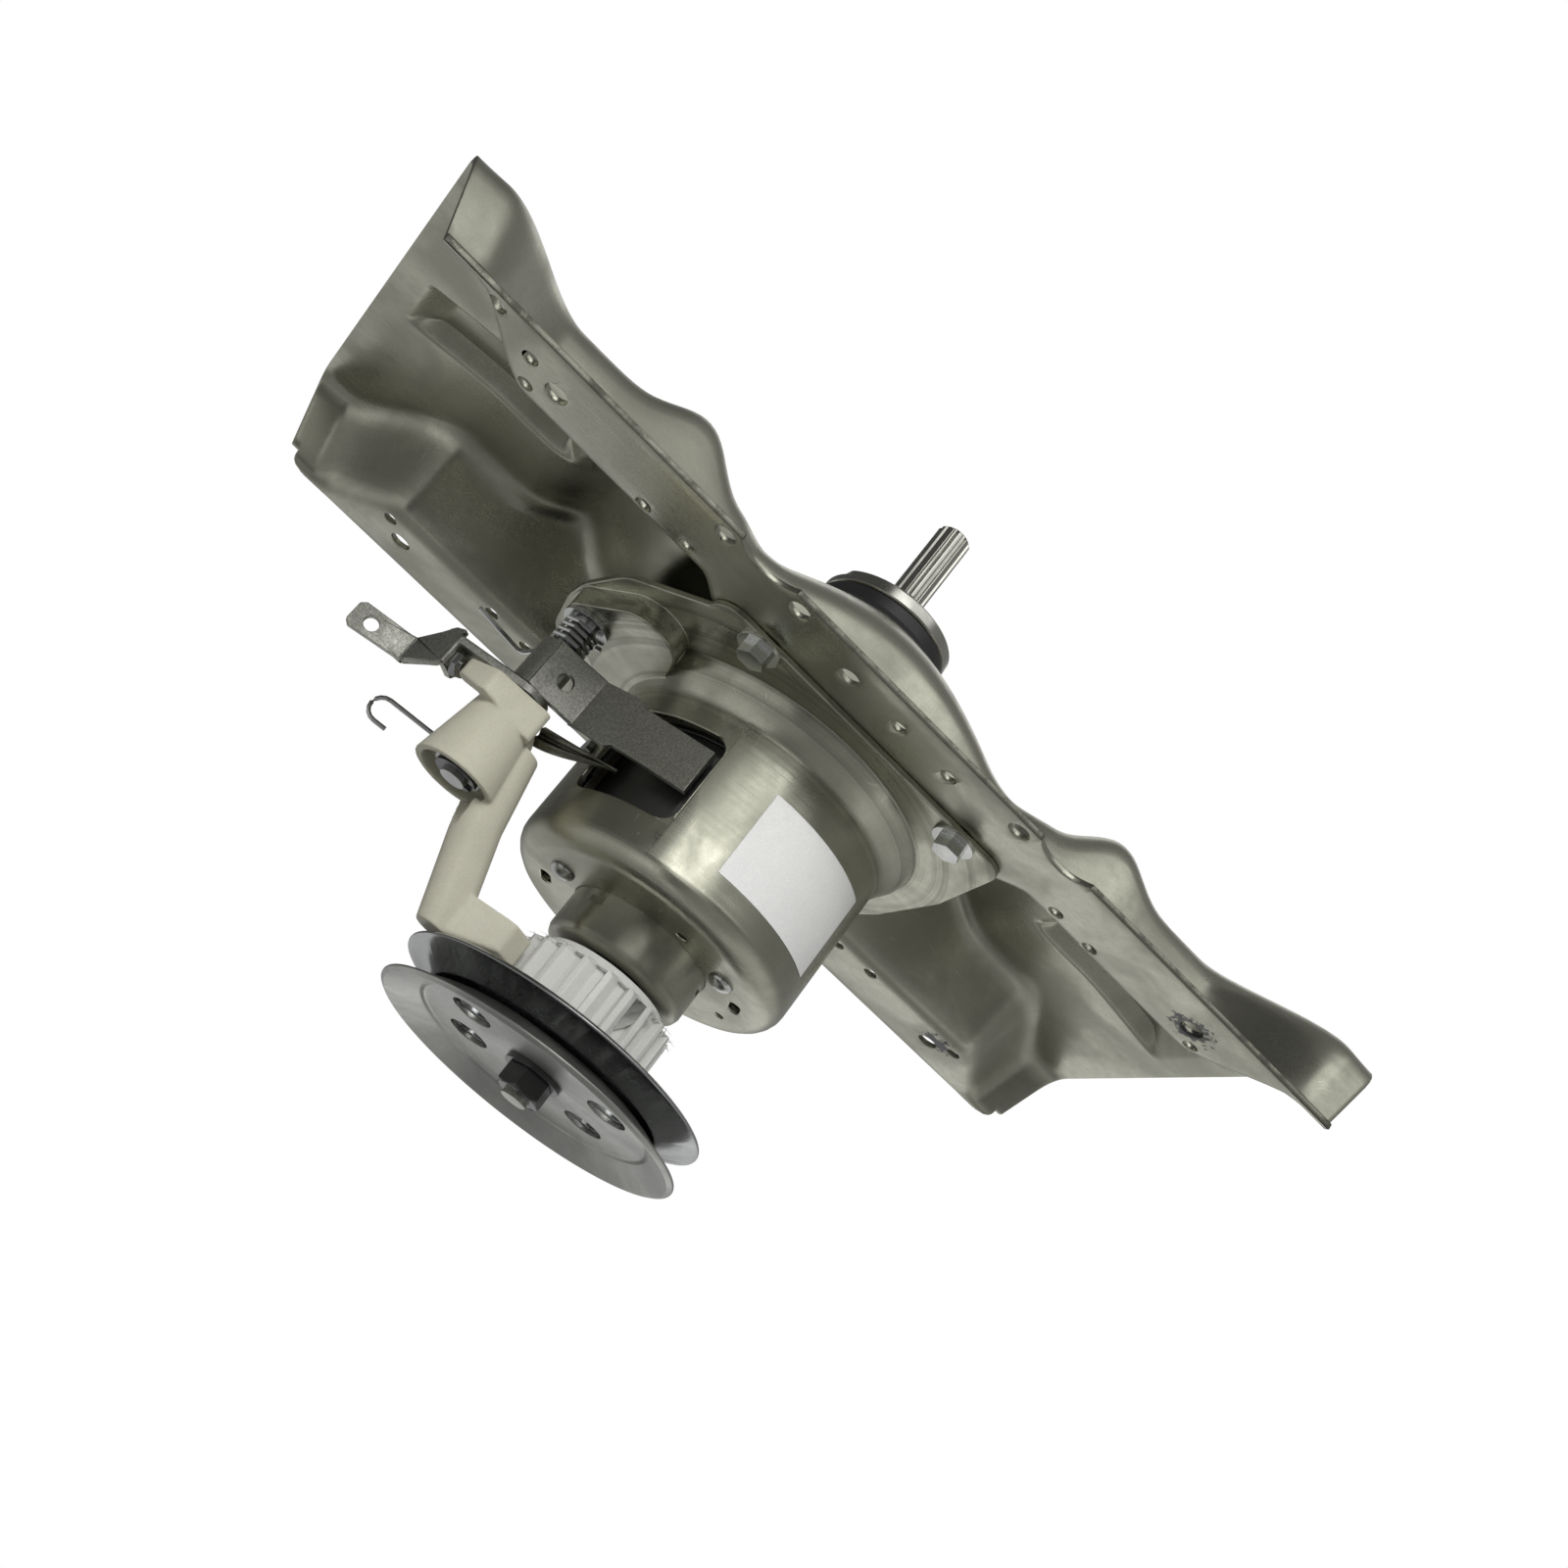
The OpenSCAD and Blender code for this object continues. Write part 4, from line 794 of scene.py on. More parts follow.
    def moulded(self, node: str, finish: str, voxel: float, passes: int) -> None:
        """Stands a softly rounded copy, as a mould gives it, in for a CAD node.

        Args:
            node: The CAD node.
            finish: Name of its finish.
            voxel: Size of the remesh in millimetres.
            passes: Rounds of smoothing.
        """
        obj = self.copy_of(node)
        obj.data.remesh_voxel_size = voxel * MM
        self.focus(obj)
        bpy.ops.object.voxel_remesh()
        self.modify(obj, "SMOOTH", factor=0.5, iterations=passes)
        self.smooth(obj, 60)
        self.place(obj, finish, self.nodes[node]["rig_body"], node)

    def press(self, name: str, grid: np.ndarray, sheet: float, merge: bool = False) -> bpy.types.Object:
        """Forms a piece of sheet from a grid of points on its middle surface.

        Args:
            name: Name of the new piece.
            grid: Rows and columns of points, in metres.
            sheet: Thickness in millimetres.
            merge: Whether points that meet are merged.

        Returns:
            The piece.
        """
        rows, columns = grid.shape[:2]
        bpy.ops.mesh.primitive_grid_add(x_subdivisions=columns - 1, y_subdivisions=rows - 1, size=1)
        obj = bpy.context.active_object
        obj.name = obj.data.name = name
        obj.data.vertices.foreach_set("co", grid.reshape(-1).astype(np.float32))
        obj.data.update()
        self.face_outwards(obj, merge)
        self.modify(obj, "SOLIDIFY", thickness=sheet * MM, offset=0.0, use_even_offset=True)
        self.face_outwards(obj)
        return obj

    def patch(self, name: str, columns: int, rows: int, spot: Callable[[float, float], Vector],
              sheet: float) -> bpy.types.Object:
        """Forms a piece of sheet from a surface law.

        Args:
            name: Name of the new piece.
            columns: Faces along the first direction.
            rows: Faces along the second direction.
            spot: Gives the middle surface's point in millimetres for two shares from 0 to 1.
            sheet: Thickness in millimetres.

        Returns:
            The piece.
        """
        grid = [[spot(i / columns, j / rows) * MM for i in range(columns + 1)] for j in range(rows + 1)]
        return self.press(name, np.array(grid), sheet, merge=True)

    def drill(self, obj: bpy.types.Object, holes: Sequence[tuple[Point, float, float]]) -> None:
        """Bores upright round holes through a piece.

        Args:
            obj: The piece.
            holes: Centre, radius and depth of each hole, in millimetres.
        """
        tools = []
        for centre, radius, depth in holes:
            bpy.ops.mesh.primitive_cylinder_add(vertices=40, radius=radius * MM, depth=depth * MM,
                                                location=Vector(centre) * MM)
            tools.append(bpy.context.active_object)
        bpy.ops.object.select_all(action="DESELECT")
        for tool in tools:
            tool.select_set(True)
        cutter = tools[0]
        bpy.context.view_layer.objects.active = cutter
        bpy.ops.object.join()
        self.modify(obj, "BOOLEAN", operation="DIFFERENCE", object=cutter, solver="EXACT")
        bpy.data.objects.remove(cutter)


# Curves of pressed sheet


def smooth_step(a: float, b: float, x: float) -> float:
    """Rises smoothly from 0 at a to 1 at b."""
    t = min(1.0, max(0.0, (x - a) / (b - a)))
    return t * t * (3 - 2 * t)


def pressed_step(a: float, b: float, x: float) -> float:
    """Rises from 0 to 1 in a straight line with small rounds at both ends.

    Args:
        a: Where the rise starts.
        b: Where it ends.
        x: The place that is asked for.

    Returns:
        The share of the rise at x.
    """
    t, soft = min(1.0, max(0.0, (x - a) / (b - a))), 0.22
    near = min(t, 1 - t)
    rise = near * near / (2 * soft * (1 - soft)) if near < soft else (near - soft / 2) / (1 - soft)
    return rise if t < 0.5 else 1 - rise


def hump(x: float, centre: float, half: float) -> float:
    """A bell of height 1 at centre."""
    return math.exp(-(((x - centre) / half) ** 2))


def bend(start: np.ndarray, knee: np.ndarray, end: np.ndarray, t: float) -> np.ndarray:
    """The point at share t of a round bend that starts and ends towards its knee."""
    return (1 - t) ** 2 * start + 2 * t * (1 - t) * knee + t * t * end


# Sub-assemblies


@dataclass
class Bracket:
    """The pressed sheet bracket, formed by the same press curves as its solid.

    Attributes:
        bench: Modelling moves.
        length: Length between the feet.
        width: Width over the flanges.
        sheet: Thickness of the sheet.
        plate_z: Height of the top plate.
        wall_foot: Half width between the side walls.
        waist: Distances from the middle between which the side walls step outwards.
        waist_step: How far they step.
        wall_draft: How far a side wall leans inwards.
        waist_upright: How much less it leans at the waist.
        flare_reach: Distances inside the foot between which the side walls flare.
        flange_end: Width of the flange that is left beside the flared ends.
        foot_bend: Reach of the bend at a wall's foot.
        crest_bend: Reach of the bend at a wall's top.
        rib_x: Distance of the cross ribs.
        rib_half: Half width of a cross rib.
        rib_rise: Rise of the cross ribs.
        arm: Distances from the middle between which the top plate climbs.
        arm_rise: How far it climbs.
        end_drop: How far it falls again at the flared ends.
        bead_w: Width of the lengthwise beads.
        bead_rise: Height of the lengthwise beads.
        bead_start: Distances outside the rib between which a bead rises.
        bead_end: Distances inside the foot between which it falls.
        bead_side: Half width of the slope at its sides.
        end_lean: Outward lean of the end edges.
        lean_reach: Distance from the foot over which they start to lean.
        dome_r: Radius of the dome's bore.
        dome_slip: How much wider the bore is drilled.
        dome_margin: How far the dome's side still rises inside the bore.
        dome_top: Height of the dome.
        dome_foot_r: Radius of the dome's foot.
        dome_bow: How far the dome's side bows out of a straight cone.
        dome_blend: Softness of the round between dome and plate.
        corner_r: Radius of the far flange's corners.
        tub_holes: Place and diameter of the holes for the tub's screws, in one quarter.
        tooling_holes: Place and diameter of the punched tooling holes, in one quarter.
        housing_holes: Place and diameter of the holes for the housing's bolts, in one quarter.
        middle_hole: Place and diameter of the tooling hole beside the middle, on one side.
        spare_holes: Place and diameter of further holes in the near flange.
        bite: Place along the length, distance outside the edge and radius of a shallow bite.
        edge_round: Width of the eased edges.
        stations: Cross sections along the length.
        half: Half the length.
        flare: Distances from the middle between which the side walls flare.
    """

    bench: Bench
    length: float = 330.0
    width: float = 175.0
    sheet: float = 2.0
    plate_z: float = 28.0
    wall_foot: float = 57.5
    waist: tuple[float, float] = (50.0, 64.0)
    waist_step: float = 11.5
    wall_draft: float = 8.0
    waist_upright: float = 6.5
    flare_reach: tuple[float, float] = (39.0, 9.0)
    flange_end: float = 2.5
    foot_bend: float = 5.0
    crest_bend: float = 8.0
    rib_x: float = 85.0
    rib_half: float = 13.0
    rib_rise: float = 10.0
    arm: tuple[float, float] = (60.0, 100.0)
    arm_rise: float = 5.0
    end_drop: float = 4.0
    bead_w: float = 24.0
    bead_rise: float = 6.0
    bead_start: tuple[float, float] = (17.0, 24.0)
    bead_end: tuple[float, float] = (18.0, 8.0)
    bead_side: float = 2.0
    end_lean: float = 10.0
    lean_reach: float = 45.0
    dome_r: float = 25.5
    dome_slip: float = 0.02
    dome_margin: float = 4.0
    dome_top: float = 50.5
    dome_foot_r: float = 60.0
    dome_bow: float = 0.1
    dome_blend: float = 2.0
    corner_r: float = 9.0
    tub_holes: tuple[Hole, ...] = ((41.5, 82.0, 6.5), (121.5, 72.0, 7.0))
    tooling_holes: tuple[Hole, ...] = (
        (19.0, 75.5, 4.6), (71.5, 64.0, 4.6), (86.5, 62.8, 4.6), (128.5, 64.0, 4.6))
    housing_holes: tuple[Hole, ...] = ((38.0, 56.0, 6.6),)
    middle_hole: Hole = (0.0, 75.5, 4.6)
    spare_holes: tuple[Hole, ...] = (
        (-146.2, -82.6, 5.6), (-131.8, -75.7, 4.6), (-68.4, -82.6, 6.2), (-18.9, -75.6, 6.4))
    bite: tuple[float, float, float] = (55.5, 7.0, 12.0)
    edge_round: float = 0.35
    stations: int = 200
    half: float = field(init=False)
    flare: tuple[float, float] = field(init=False)

    def __post_init__(self) -> None:
        """Works out the half length and where the side walls flare."""
        self.half = self.length / 2
        self.flare = (self.half - self.flare_reach[0], self.half - self.flare_reach[1])

    def foot_y(self, x: float) -> float:
        """Half width at the foot of the side wall.

        Args:
            x: Place along the length.

        Returns:
            The half width.
        """
        a = abs(x)
        middle, end = self.wall_foot - self.waist_step, self.width / 2 - self.flange_end
        return (middle + (self.wall_foot - middle) * smooth_step(*self.waist, a)
                + (end - self.wall_foot) * smooth_step(*self.flare, a))

    def crest_y(self, x: float) -> float:
        """Half width at the top of the side wall.

        Args:
            x: Place along the length.

        Returns:
            The half width.
        """
        a = abs(x)
        return (self.foot_y(x) - self.wall_draft * (1 - 0.5 * smooth_step(*self.flare, a))
                + self.waist_upright * (1 - smooth_step(*self.waist, a)))

    def plate_height(self, x: float) -> float:
        """Height of the top plate's middle surface without beads and dome.

        Args:
            x: Place along the length.

        Returns:
            The height.
        """
        a = abs(x)
        rib = self.rib_rise * hump(a, self.rib_x, self.rib_half)
        return (self.plate_z - self.sheet / 2 + rib + self.arm_rise * smooth_step(*self.arm, a)
                - self.end_drop * smooth_step(self.flare[0], self.half, a))

    def bead(self, x: float, y: float) -> float:
        """Height of the lengthwise bead.

        Args:
            x: Place along the length.
            y: Place across it.

        Returns:
            The height over the plate.
        """
        a, edge = abs(x), self.bead_w / 2
        starts = pressed_step(*(self.rib_x + reach for reach in self.bead_start), a)
        ends = pressed_step(*(self.half - reach for reach in self.bead_end), a)
        side = pressed_step(edge - self.bead_side, edge + self.bead_side, abs(y))
        return self.bead_rise * starts * (1 - ends) * (1 - side)

    def ceiling(self, x: float, y: float) -> float:
        """Height of the top plate with beads and dome.

        Args:
            x: Place along the length.
            y: Place across it.

        Returns:
            The height of the middle surface.
        """
        r = max(self.dome_r - self.dome_margin, math.hypot(x, y))
        u = (r - self.dome_r) / (self.dome_foot_r - self.dome_r)
        fall = (self.dome_top - self.plate_z) * u * (1 - self.dome_bow + self.dome_bow * u)
        dome = self.dome_top - self.sheet / 2 - fall
        plate = self.plate_height(x) + self.bead(x, y)
        return (plate + dome + math.sqrt((plate - dome) ** 2 + self.dome_blend ** 2)) / 2

    def roof(self, x: float, y: float) -> np.ndarray:
        """A point of the top plate in a cross section."""
        return np.array((y, self.ceiling(x, y) - self.sheet / 2))

    def half_section(self, x: float) -> list[tuple[float, float]]:
        """Half a cross section, from the flange's edge to the centre line.

        Args:
            x: Place along the length.

        Returns:
            Place across and height of each point.
        """
        flange_steps, wall_steps, plate_steps, side_steps, bead_steps = 6, 5, 14, 20, 5
        edge_y, bead_y, soft = self.width / 2, self.bead_w / 2, 1.75 * self.bead_side
        foot, crest = np.array((self.foot_y(x), 0.0)), self.roof(x, self.crest_y(x))
        up = (crest - foot) / np.linalg.norm(crest - foot)
        reach = min(self.foot_bend, 0.8 * (edge_y - foot[0]))
        flat = self.roof(x, crest[0] - self.crest_bend)
        start, low, high = foot + (reach, 0), foot + reach * up, crest - self.crest_bend * up
        points = [np.array((edge_y + (start[0] - edge_y) * k / flange_steps, 0.0))
                  for k in range(flange_steps + 1)]
        points += [bend(start, foot, low, t) for t in (0.25, 0.5, 0.75, 1.0)]
        points += [low + (high - low) * k / wall_steps for k in range(1, wall_steps + 1)]
        points += [bend(high, crest, flat, t) for t in (0.17, 0.33, 0.5, 0.67, 0.83)]
        across = [flat[0] + (bead_y + soft - flat[0]) * k / plate_steps for k in range(plate_steps)]
        across += [bead_y + soft - 2 * soft * k / side_steps for k in range(side_steps + 1)]
        across += [(bead_y - soft) * (1 - k / bead_steps) for k in range(1, bead_steps + 1)]
        points += [self.roof(x, y) for y in across]
        return [(float(p[0]), float(p[1])) for p in points]

    def station_list(self) -> list[float]:
        """Places of the cross sections, closer together where the beads end.

        Returns:
            The places along the length, from end to end.
        """
        start_gap, end_gap, closest = 0.6, 0.8, 0.45
        dense = [self.rib_x + self.bead_start[0] - 1 + k * start_gap for k in range(16)]
        dense += [self.half - self.bead_end[0] - 1 + k * end_gap for k in range(15)]
        coarse = [float(x) for x in np.linspace(0, self.half, self.stations // 2 + 1)]
        side = sorted([x for x in coarse if min(abs(x - d) for d in dense) > closest] + dense)
        return [-x for x in reversed(side[1:])] + side

    def surface(self) -> np.ndarray:
        """The press surface.

        Returns:
            Rows of points in metres, a row for each cross section.
        """
        rows = []
        for x in self.station_list():
            half = self.half_section(x)
            full = half + [(-y, z) for y, z in reversed(half[:-1])]
            lean = smooth_step(self.half - self.lean_reach, self.half, abs(x)) * self.end_lean / self.plate_z
            rows.append([(x + math.copysign(lean * z, x), y, z + self.sheet / 2) for y, z in full])
        return np.array(rows) * MM

    def round_corners(self, obj: bpy.types.Object) -> None:
        """Rounds the two far corners of the flanges.

        Args:
            obj: The bracket's sheet.
        """
        r = self.corner_r
        block = r + 2
        for s in (-1, 1):
            centre = Vector((s * (self.half - r), self.width / 2 - r, 1)) * MM
            bpy.ops.mesh.primitive_cube_add(size=1)
            knife = bpy.context.active_object
            knife.data.transform(Matrix.Diagonal((block * MM, block * MM, 6 * MM, 1)))
            knife.location = centre + Vector((s * block / 2, block / 2, 0)) * MM
            bpy.ops.mesh.primitive_cylinder_add(vertices=96, radius=r * MM, depth=20 * MM, location=centre)
            core = bpy.context.active_object
            self.bench.modify(knife, "BOOLEAN", operation="DIFFERENCE", object=core, solver="EXACT")
            self.bench.modify(obj, "BOOLEAN", operation="DIFFERENCE", object=knife, solver="EXACT")
            bpy.data.objects.remove(core)
            bpy.data.objects.remove(knife)

    def hole_list(self) -> list[tuple[Point, float, float]]:
        """All holes and bites of the bracket.

        Returns:
            Centre, radius and depth of each.
        """
        quarters = [(sx, sy) for sx in (-1, 1) for sy in (-1, 1)]
        level, depth = self.sheet, 3 * self.sheet
        bore = ((0, 0, self.dome_top), self.dome_r + self.dome_slip, 2 * self.dome_top)
        holes: list[tuple[Point, float, float]] = [bore]
        for x, y, d in (*self.tub_holes, *self.tooling_holes, *self.housing_holes):
            holes += [((sx * x, sy * y, level), d / 2, depth) for sx, sy in quarters]
        x, y, d = self.middle_hole
        holes += [((x, s * y, level), d / 2, depth) for s in (-1, 1)]
        holes += [((x, y, level), d / 2, depth) for x, y, d in self.spare_holes]
        x, outside, r = self.bite
        holes += [((sx * x, sy * (self.width / 2 + outside), level), r, depth) for sx, sy in quarters]
        return holes

    def build(self) -> None:
        """Presses, pierces and dresses the bracket."""
        obj = self.bench.press("bracket_sheet", self.surface(), self.sheet)
        self.bench.drill(obj, self.hole_list())
        self.round_corners(obj)
        self.bench.bevel(obj, self.edge_round, segments=2, angle=50)
        self.bench.smooth(obj, angle=40)
        self.bench.place(obj, "pressed_bracket_steel", "frame_body", "mounting_bracket")


@dataclass
class Housing:
    """The brake housing with its bearings, cap, fasteners, seal and label.

    Attributes:
        bench: Modelling moves.
        middle_r: Radius of the middle of the housing's wall.
        window: Both azimuths in degrees and both heights of the lever's window.
        corner: Radius of the window's corners.
        filler: Thickness of the fillers that round the corners.
        overlap: How far a filler reaches into the wall.
        shell: How the housing's edges are eased.
        pieces: How the other nodes are eased.
    """

    bench: Bench
    middle_r: float = 44.5
    window: tuple[float, float, float, float] = (-168.0, -121.0, -49.5, -20.0)
    corner: float = 4.5
    filler: float = 1.9
    overlap: float = 0.8
    shell: Eased = Eased("brake_housing", "drawn_housing_steel", 0.5, 3)
    pieces: tuple[Eased, ...] = (
        # The cap's darker finish is painted shade under the cup
        Eased("bearing_cap", "shaded_drawn_cap_steel", 0.3),
        Eased("upper_bearing_housing", "turned_steel", 0.2),
        Eased("housing_bolts", "bolt_zinc", 0.2),
        Eased("weld_nuts", "bright_zinc", 0.3),
        Eased("cap_screws", "bolt_zinc", 0.2),
        Eased("water_seal", "seal_rubber", 0.3),
        Eased("blank_label", "label_paper", 0.04, 1),
        Eased("upper_bearing_outer", "turned_steel", 0.2),
        Eased("upper_bearing_inner", "turned_steel", 0.2),
        Eased("lower_bearing_outer", "turned_steel", 0.2),
        Eased("lower_bearing_inner", "turned_steel", 0.2),
        Eased("upper_bearing_balls", "ball_steel", 0.0),
        Eased("lower_bearing_balls", "ball_steel", 0.0),
    )

    def corner_spot(self, azimuth: float, side: int, height: float, rise: int, s: float,
                    t: float) -> Vector:
        """Middle surface of a filler that rounds one corner of the window.

        Args:
            azimuth: The corner's azimuth in degrees.
            side: 1 or -1, the way into the window round the axis.
            height: The corner's height.
            rise: 1 or -1, the way into the window along the axis.
            s: Share of the way round the arc.
            t: Share of the way from the corner to the arc.

        Returns:
            The point in millimetres.
        """
        turn, sunk = math.pi / 2 * s, -self.overlap * (1 - t)
        around = sunk + t * self.corner * (1 - math.cos(turn))
        up = sunk + t * self.corner * (1 - math.sin(turn))
        angle = math.radians(azimuth) + side * around / self.middle_r
        return Vector((self.middle_r * math.cos(angle), self.middle_r * math.sin(angle), height + rise * up))

    def window_corners(self, housing: bpy.types.Object) -> None:
        """Fills the window's sharp corners to a round.

        Args:
            housing: The housing's finished piece.
        """
        left, right, low, high = self.window
        for azimuth, side in ((left, 1), (right, -1)):
            for height, rise in ((low, 1), (high, -1)):
                spot = partial(self.corner_spot, azimuth, side, height, rise)
                filler = self.bench.patch("window_filler", columns=10, rows=4, spot=spot,
                                          sheet=self.filler)
                self.bench.modify(housing, "BOOLEAN", operation="UNION", object=filler, solver="EXACT")
                bpy.data.objects.remove(filler)

    def build(self) -> None:
        """Finishes every piece of the housing."""
        housing = self.bench.ease(self.shell)
        self.window_corners(housing)
        self.bench.smooth(housing, self.bench.EASED_ANGLE)
        self.bench.ease(*self.pieces)


@dataclass
class Brake:
    """The band brake, its lever and pawl, the adjusting screw and the pivot pin.

    Attributes:
        bench: Modelling moves.
        tongue_tip: Outer end of the tongue that leads the band's free end out of the window.
        tongue_root: Inner end of the tongue.
        tongue_low: Height of the tongue's lower edge at its tip.
        tongue_taper: How far that edge rises towards the root.
        tongue_high: Height of the tongue's upper edge at its tip.
        tongue_climb: How far that edge rises towards the root.
        tongue_ribs: Places of its two ribs, as shares of its width.
        tongue_rib_rise: Height of the ribs at the tip.
        tongue_rib_half: Half width of a rib, as a share of the tongue's width.
        tongue_rib_fade: Share of the ribs' height that is lost towards the root.
        tongue_inset: How far the sheet between the ribs lies back.
        tongue_sheet: Thickness of the tongue.
        pieces: How the band's and the lever's nodes are eased.
        springs: How the springs' nodes are taken over.
    """

    bench: Bench
    tongue_tip: Point = (-59.8, -3.0, 0.0)
    tongue_root: Point = (-38.7, -15.8, 0.0)
    tongue_low: float = -46.4
    tongue_taper: float = 6.2
    tongue_high: float = -39.9
    tongue_climb: float = 0.5
    tongue_ribs: tuple[float, float] = (0.3, 0.78)
    tongue_rib_rise: float = 1.5
    tongue_rib_half: float = 0.13
    tongue_rib_fade: float = 0.7
    tongue_inset: float = 0.6
    tongue_sheet: float = 0.7
    pieces: tuple[Eased, ...] = (
        Eased("brake_band", "brake_band_steel", 0.1),
        Eased("brake_lining", "friction_lining", 0.1),
        Eased("band_anchor", "bright_zinc", 0.2),
        Eased("brake_lever", "dull_zinc", 0.25),
        Eased("adjusting_screw", "bright_zinc", 0.1),
        Eased("lock_nut", "bright_zinc", 0.2),
        Eased("pivot_pin", "bright_zinc", 0.2),
        Eased("pin_washer", "bright_zinc", 0.1),
        Eased("pin_clip", "oiled_steel", 0.1),
    )
    springs: tuple[Eased, ...] = (
        Eased("pawl_spring", "spring_wire", 0.0),
        Eased("lever_spring", "spring_wire", 0.0),
    )

    def tongue_spot(self, s: float, t: float) -> Vector:
        """Middle surface of the tongue.

        Args:
            s: Share of the way from the tip to the root.
            t: Share of the way from the lower edge to the upper one.

        Returns:
            The point in millimetres.
        """
        tip = Vector(self.tongue_tip)
        along = Vector(self.tongue_root) - tip
        out = Vector((along.y, -along.x, 0)).normalized()
        low = self.tongue_low + self.tongue_taper * smooth_step(0, 1.1, s)
        high = self.tongue_high + self.tongue_climb * s
        ribs = sum(hump(t, place, self.tongue_rib_half) for place in self.tongue_ribs)
        rise = self.tongue_rib_rise * (1 - self.tongue_rib_fade * s) * ribs - self.tongue_inset
        return tip + along * s + out * rise + Vector((0, 0, low + (high - low) * t))

    def band_end(self) -> None:
        """Folds the ribbed tongue of the band."""
        tongue = self.bench.patch("band_end_tongue", columns=24, rows=20, spot=self.tongue_spot,
                                  sheet=self.tongue_sheet)
        self.bench.smooth(tongue, angle=45)
        self.bench.place(tongue, "brake_tongue_steel", "frame_body")

    def build(self) -> None:
        """Finishes every piece of the brake."""
        self.band_end()
        self.bench.ease(*self.pieces)
        self.bench.moulded("pawl_arm", "pawl_nylon", voxel=0.55, passes=6)
        self.bench.ease(*self.springs)


@dataclass
class GearTrain:
    """The spin drum with its planetary gears, shafts and bushes, and the ratchet.

    Attributes:
        bench: Modelling moves.
        pieces: How the nodes are eased.
    """

    bench: Bench
    pieces: tuple[Eased, ...] = (
        Eased("drum_shaft", "turned_steel", 0.25),
        Eased("pulsator_shaft", "turned_steel", 0.12, 1),
        Eased("input_shaft", "turned_steel", 0.1, 1),
        Eased("drum_cover", "brake_band_steel", 0.3),
        Eased("brake_drum", "brake_band_steel", 0.3),
        Eased("cover_screws", "bright_zinc", 0.2),
        Eased("ring_gear", "turned_steel", 0.0),
        Eased("planet_carrier", "turned_steel", 0.3),
        Eased("planet_pins", "turned_steel", 0.2),
        Eased("upper_bush", "sintered_bronze", 0.2),
        Eased("lower_bush", "sintered_bronze", 0.2),
        *(Eased(f"planet_gear_{k}", "gear_nylon", 0.0) for k in (1, 2, 3)),
        Eased("clutch_sleeve", "ratchet_nylon", 0.3),
        Eased("clutch_spring", "spring_wire", 0.0),
    )

    def build(self) -> None:
        """Finishes every piece of the gear train."""
        self.bench.ease(*self.pieces)


@dataclass
class Pulley:
    """The belt pulley with its washer and nut.

    Attributes:
        bench: Modelling moves.
        pieces: How the nodes are eased.
    """

    bench: Bench
    pieces: tuple[Eased, ...] = (
        Eased("pulley_upper_half", "pulley_groove_steel", 0.3),
        Eased("pulley_lower_half", "pulley_face_zinc", 0.3),
        Eased("pulley_washer", "oiled_steel", 0.2),
        Eased("pulley_nut", "oiled_steel", 0.3),
    )

    def build(self) -> None:
        """Finishes every piece of the pulley."""
        self.bench.ease(*self.pieces)


# Studio


def grey(level: float) -> Point:
    """An even grey."""
    return (level, level, level)


@dataclass(frozen=True)
class Lamp:
    """A square soft lamp.

    Attributes:
        name: The lamp's name.
        place: Its place in millimetres.
        size: Its width in millimetres.
        power: Its power in watts.
        mirrored: Whether metals mirror it.
    """

    name: str
    place: Point
    size: float
    power: float
    mirrored: bool = True

    def hang(self, target: Point) -> None:
        """Hangs the lamp and points it.

        Args:
            target: Where it points, in millimetres.
        """
        data = bpy.data.lights.new(self.name, "AREA")
        data.shape, data.size, data.energy = "SQUARE", self.size * MM, self.power
        lamp = bpy.data.objects.new(self.name, data)
        bpy.context.scene.collection.objects.link(lamp)
        lamp.visible_glossy = self.mirrored
        lamp.location = Vector(self.place) * MM
        lamp.rotation_mode = "QUATERNION"
        lamp.rotation_quaternion = ((Vector(target) - Vector(self.place)) * MM).to_track_quat("-Z", "Y")


@dataclass(frozen=True)
class Panel:
    """A bright patch of the room that the metal mirrors.

    Attributes:
        aim: Direction of its middle.
        edge: Cosine of the angle from the middle to its soft edge.
        glow: Its brightness.
    """

    aim: Point
    edge: float
    glow: float


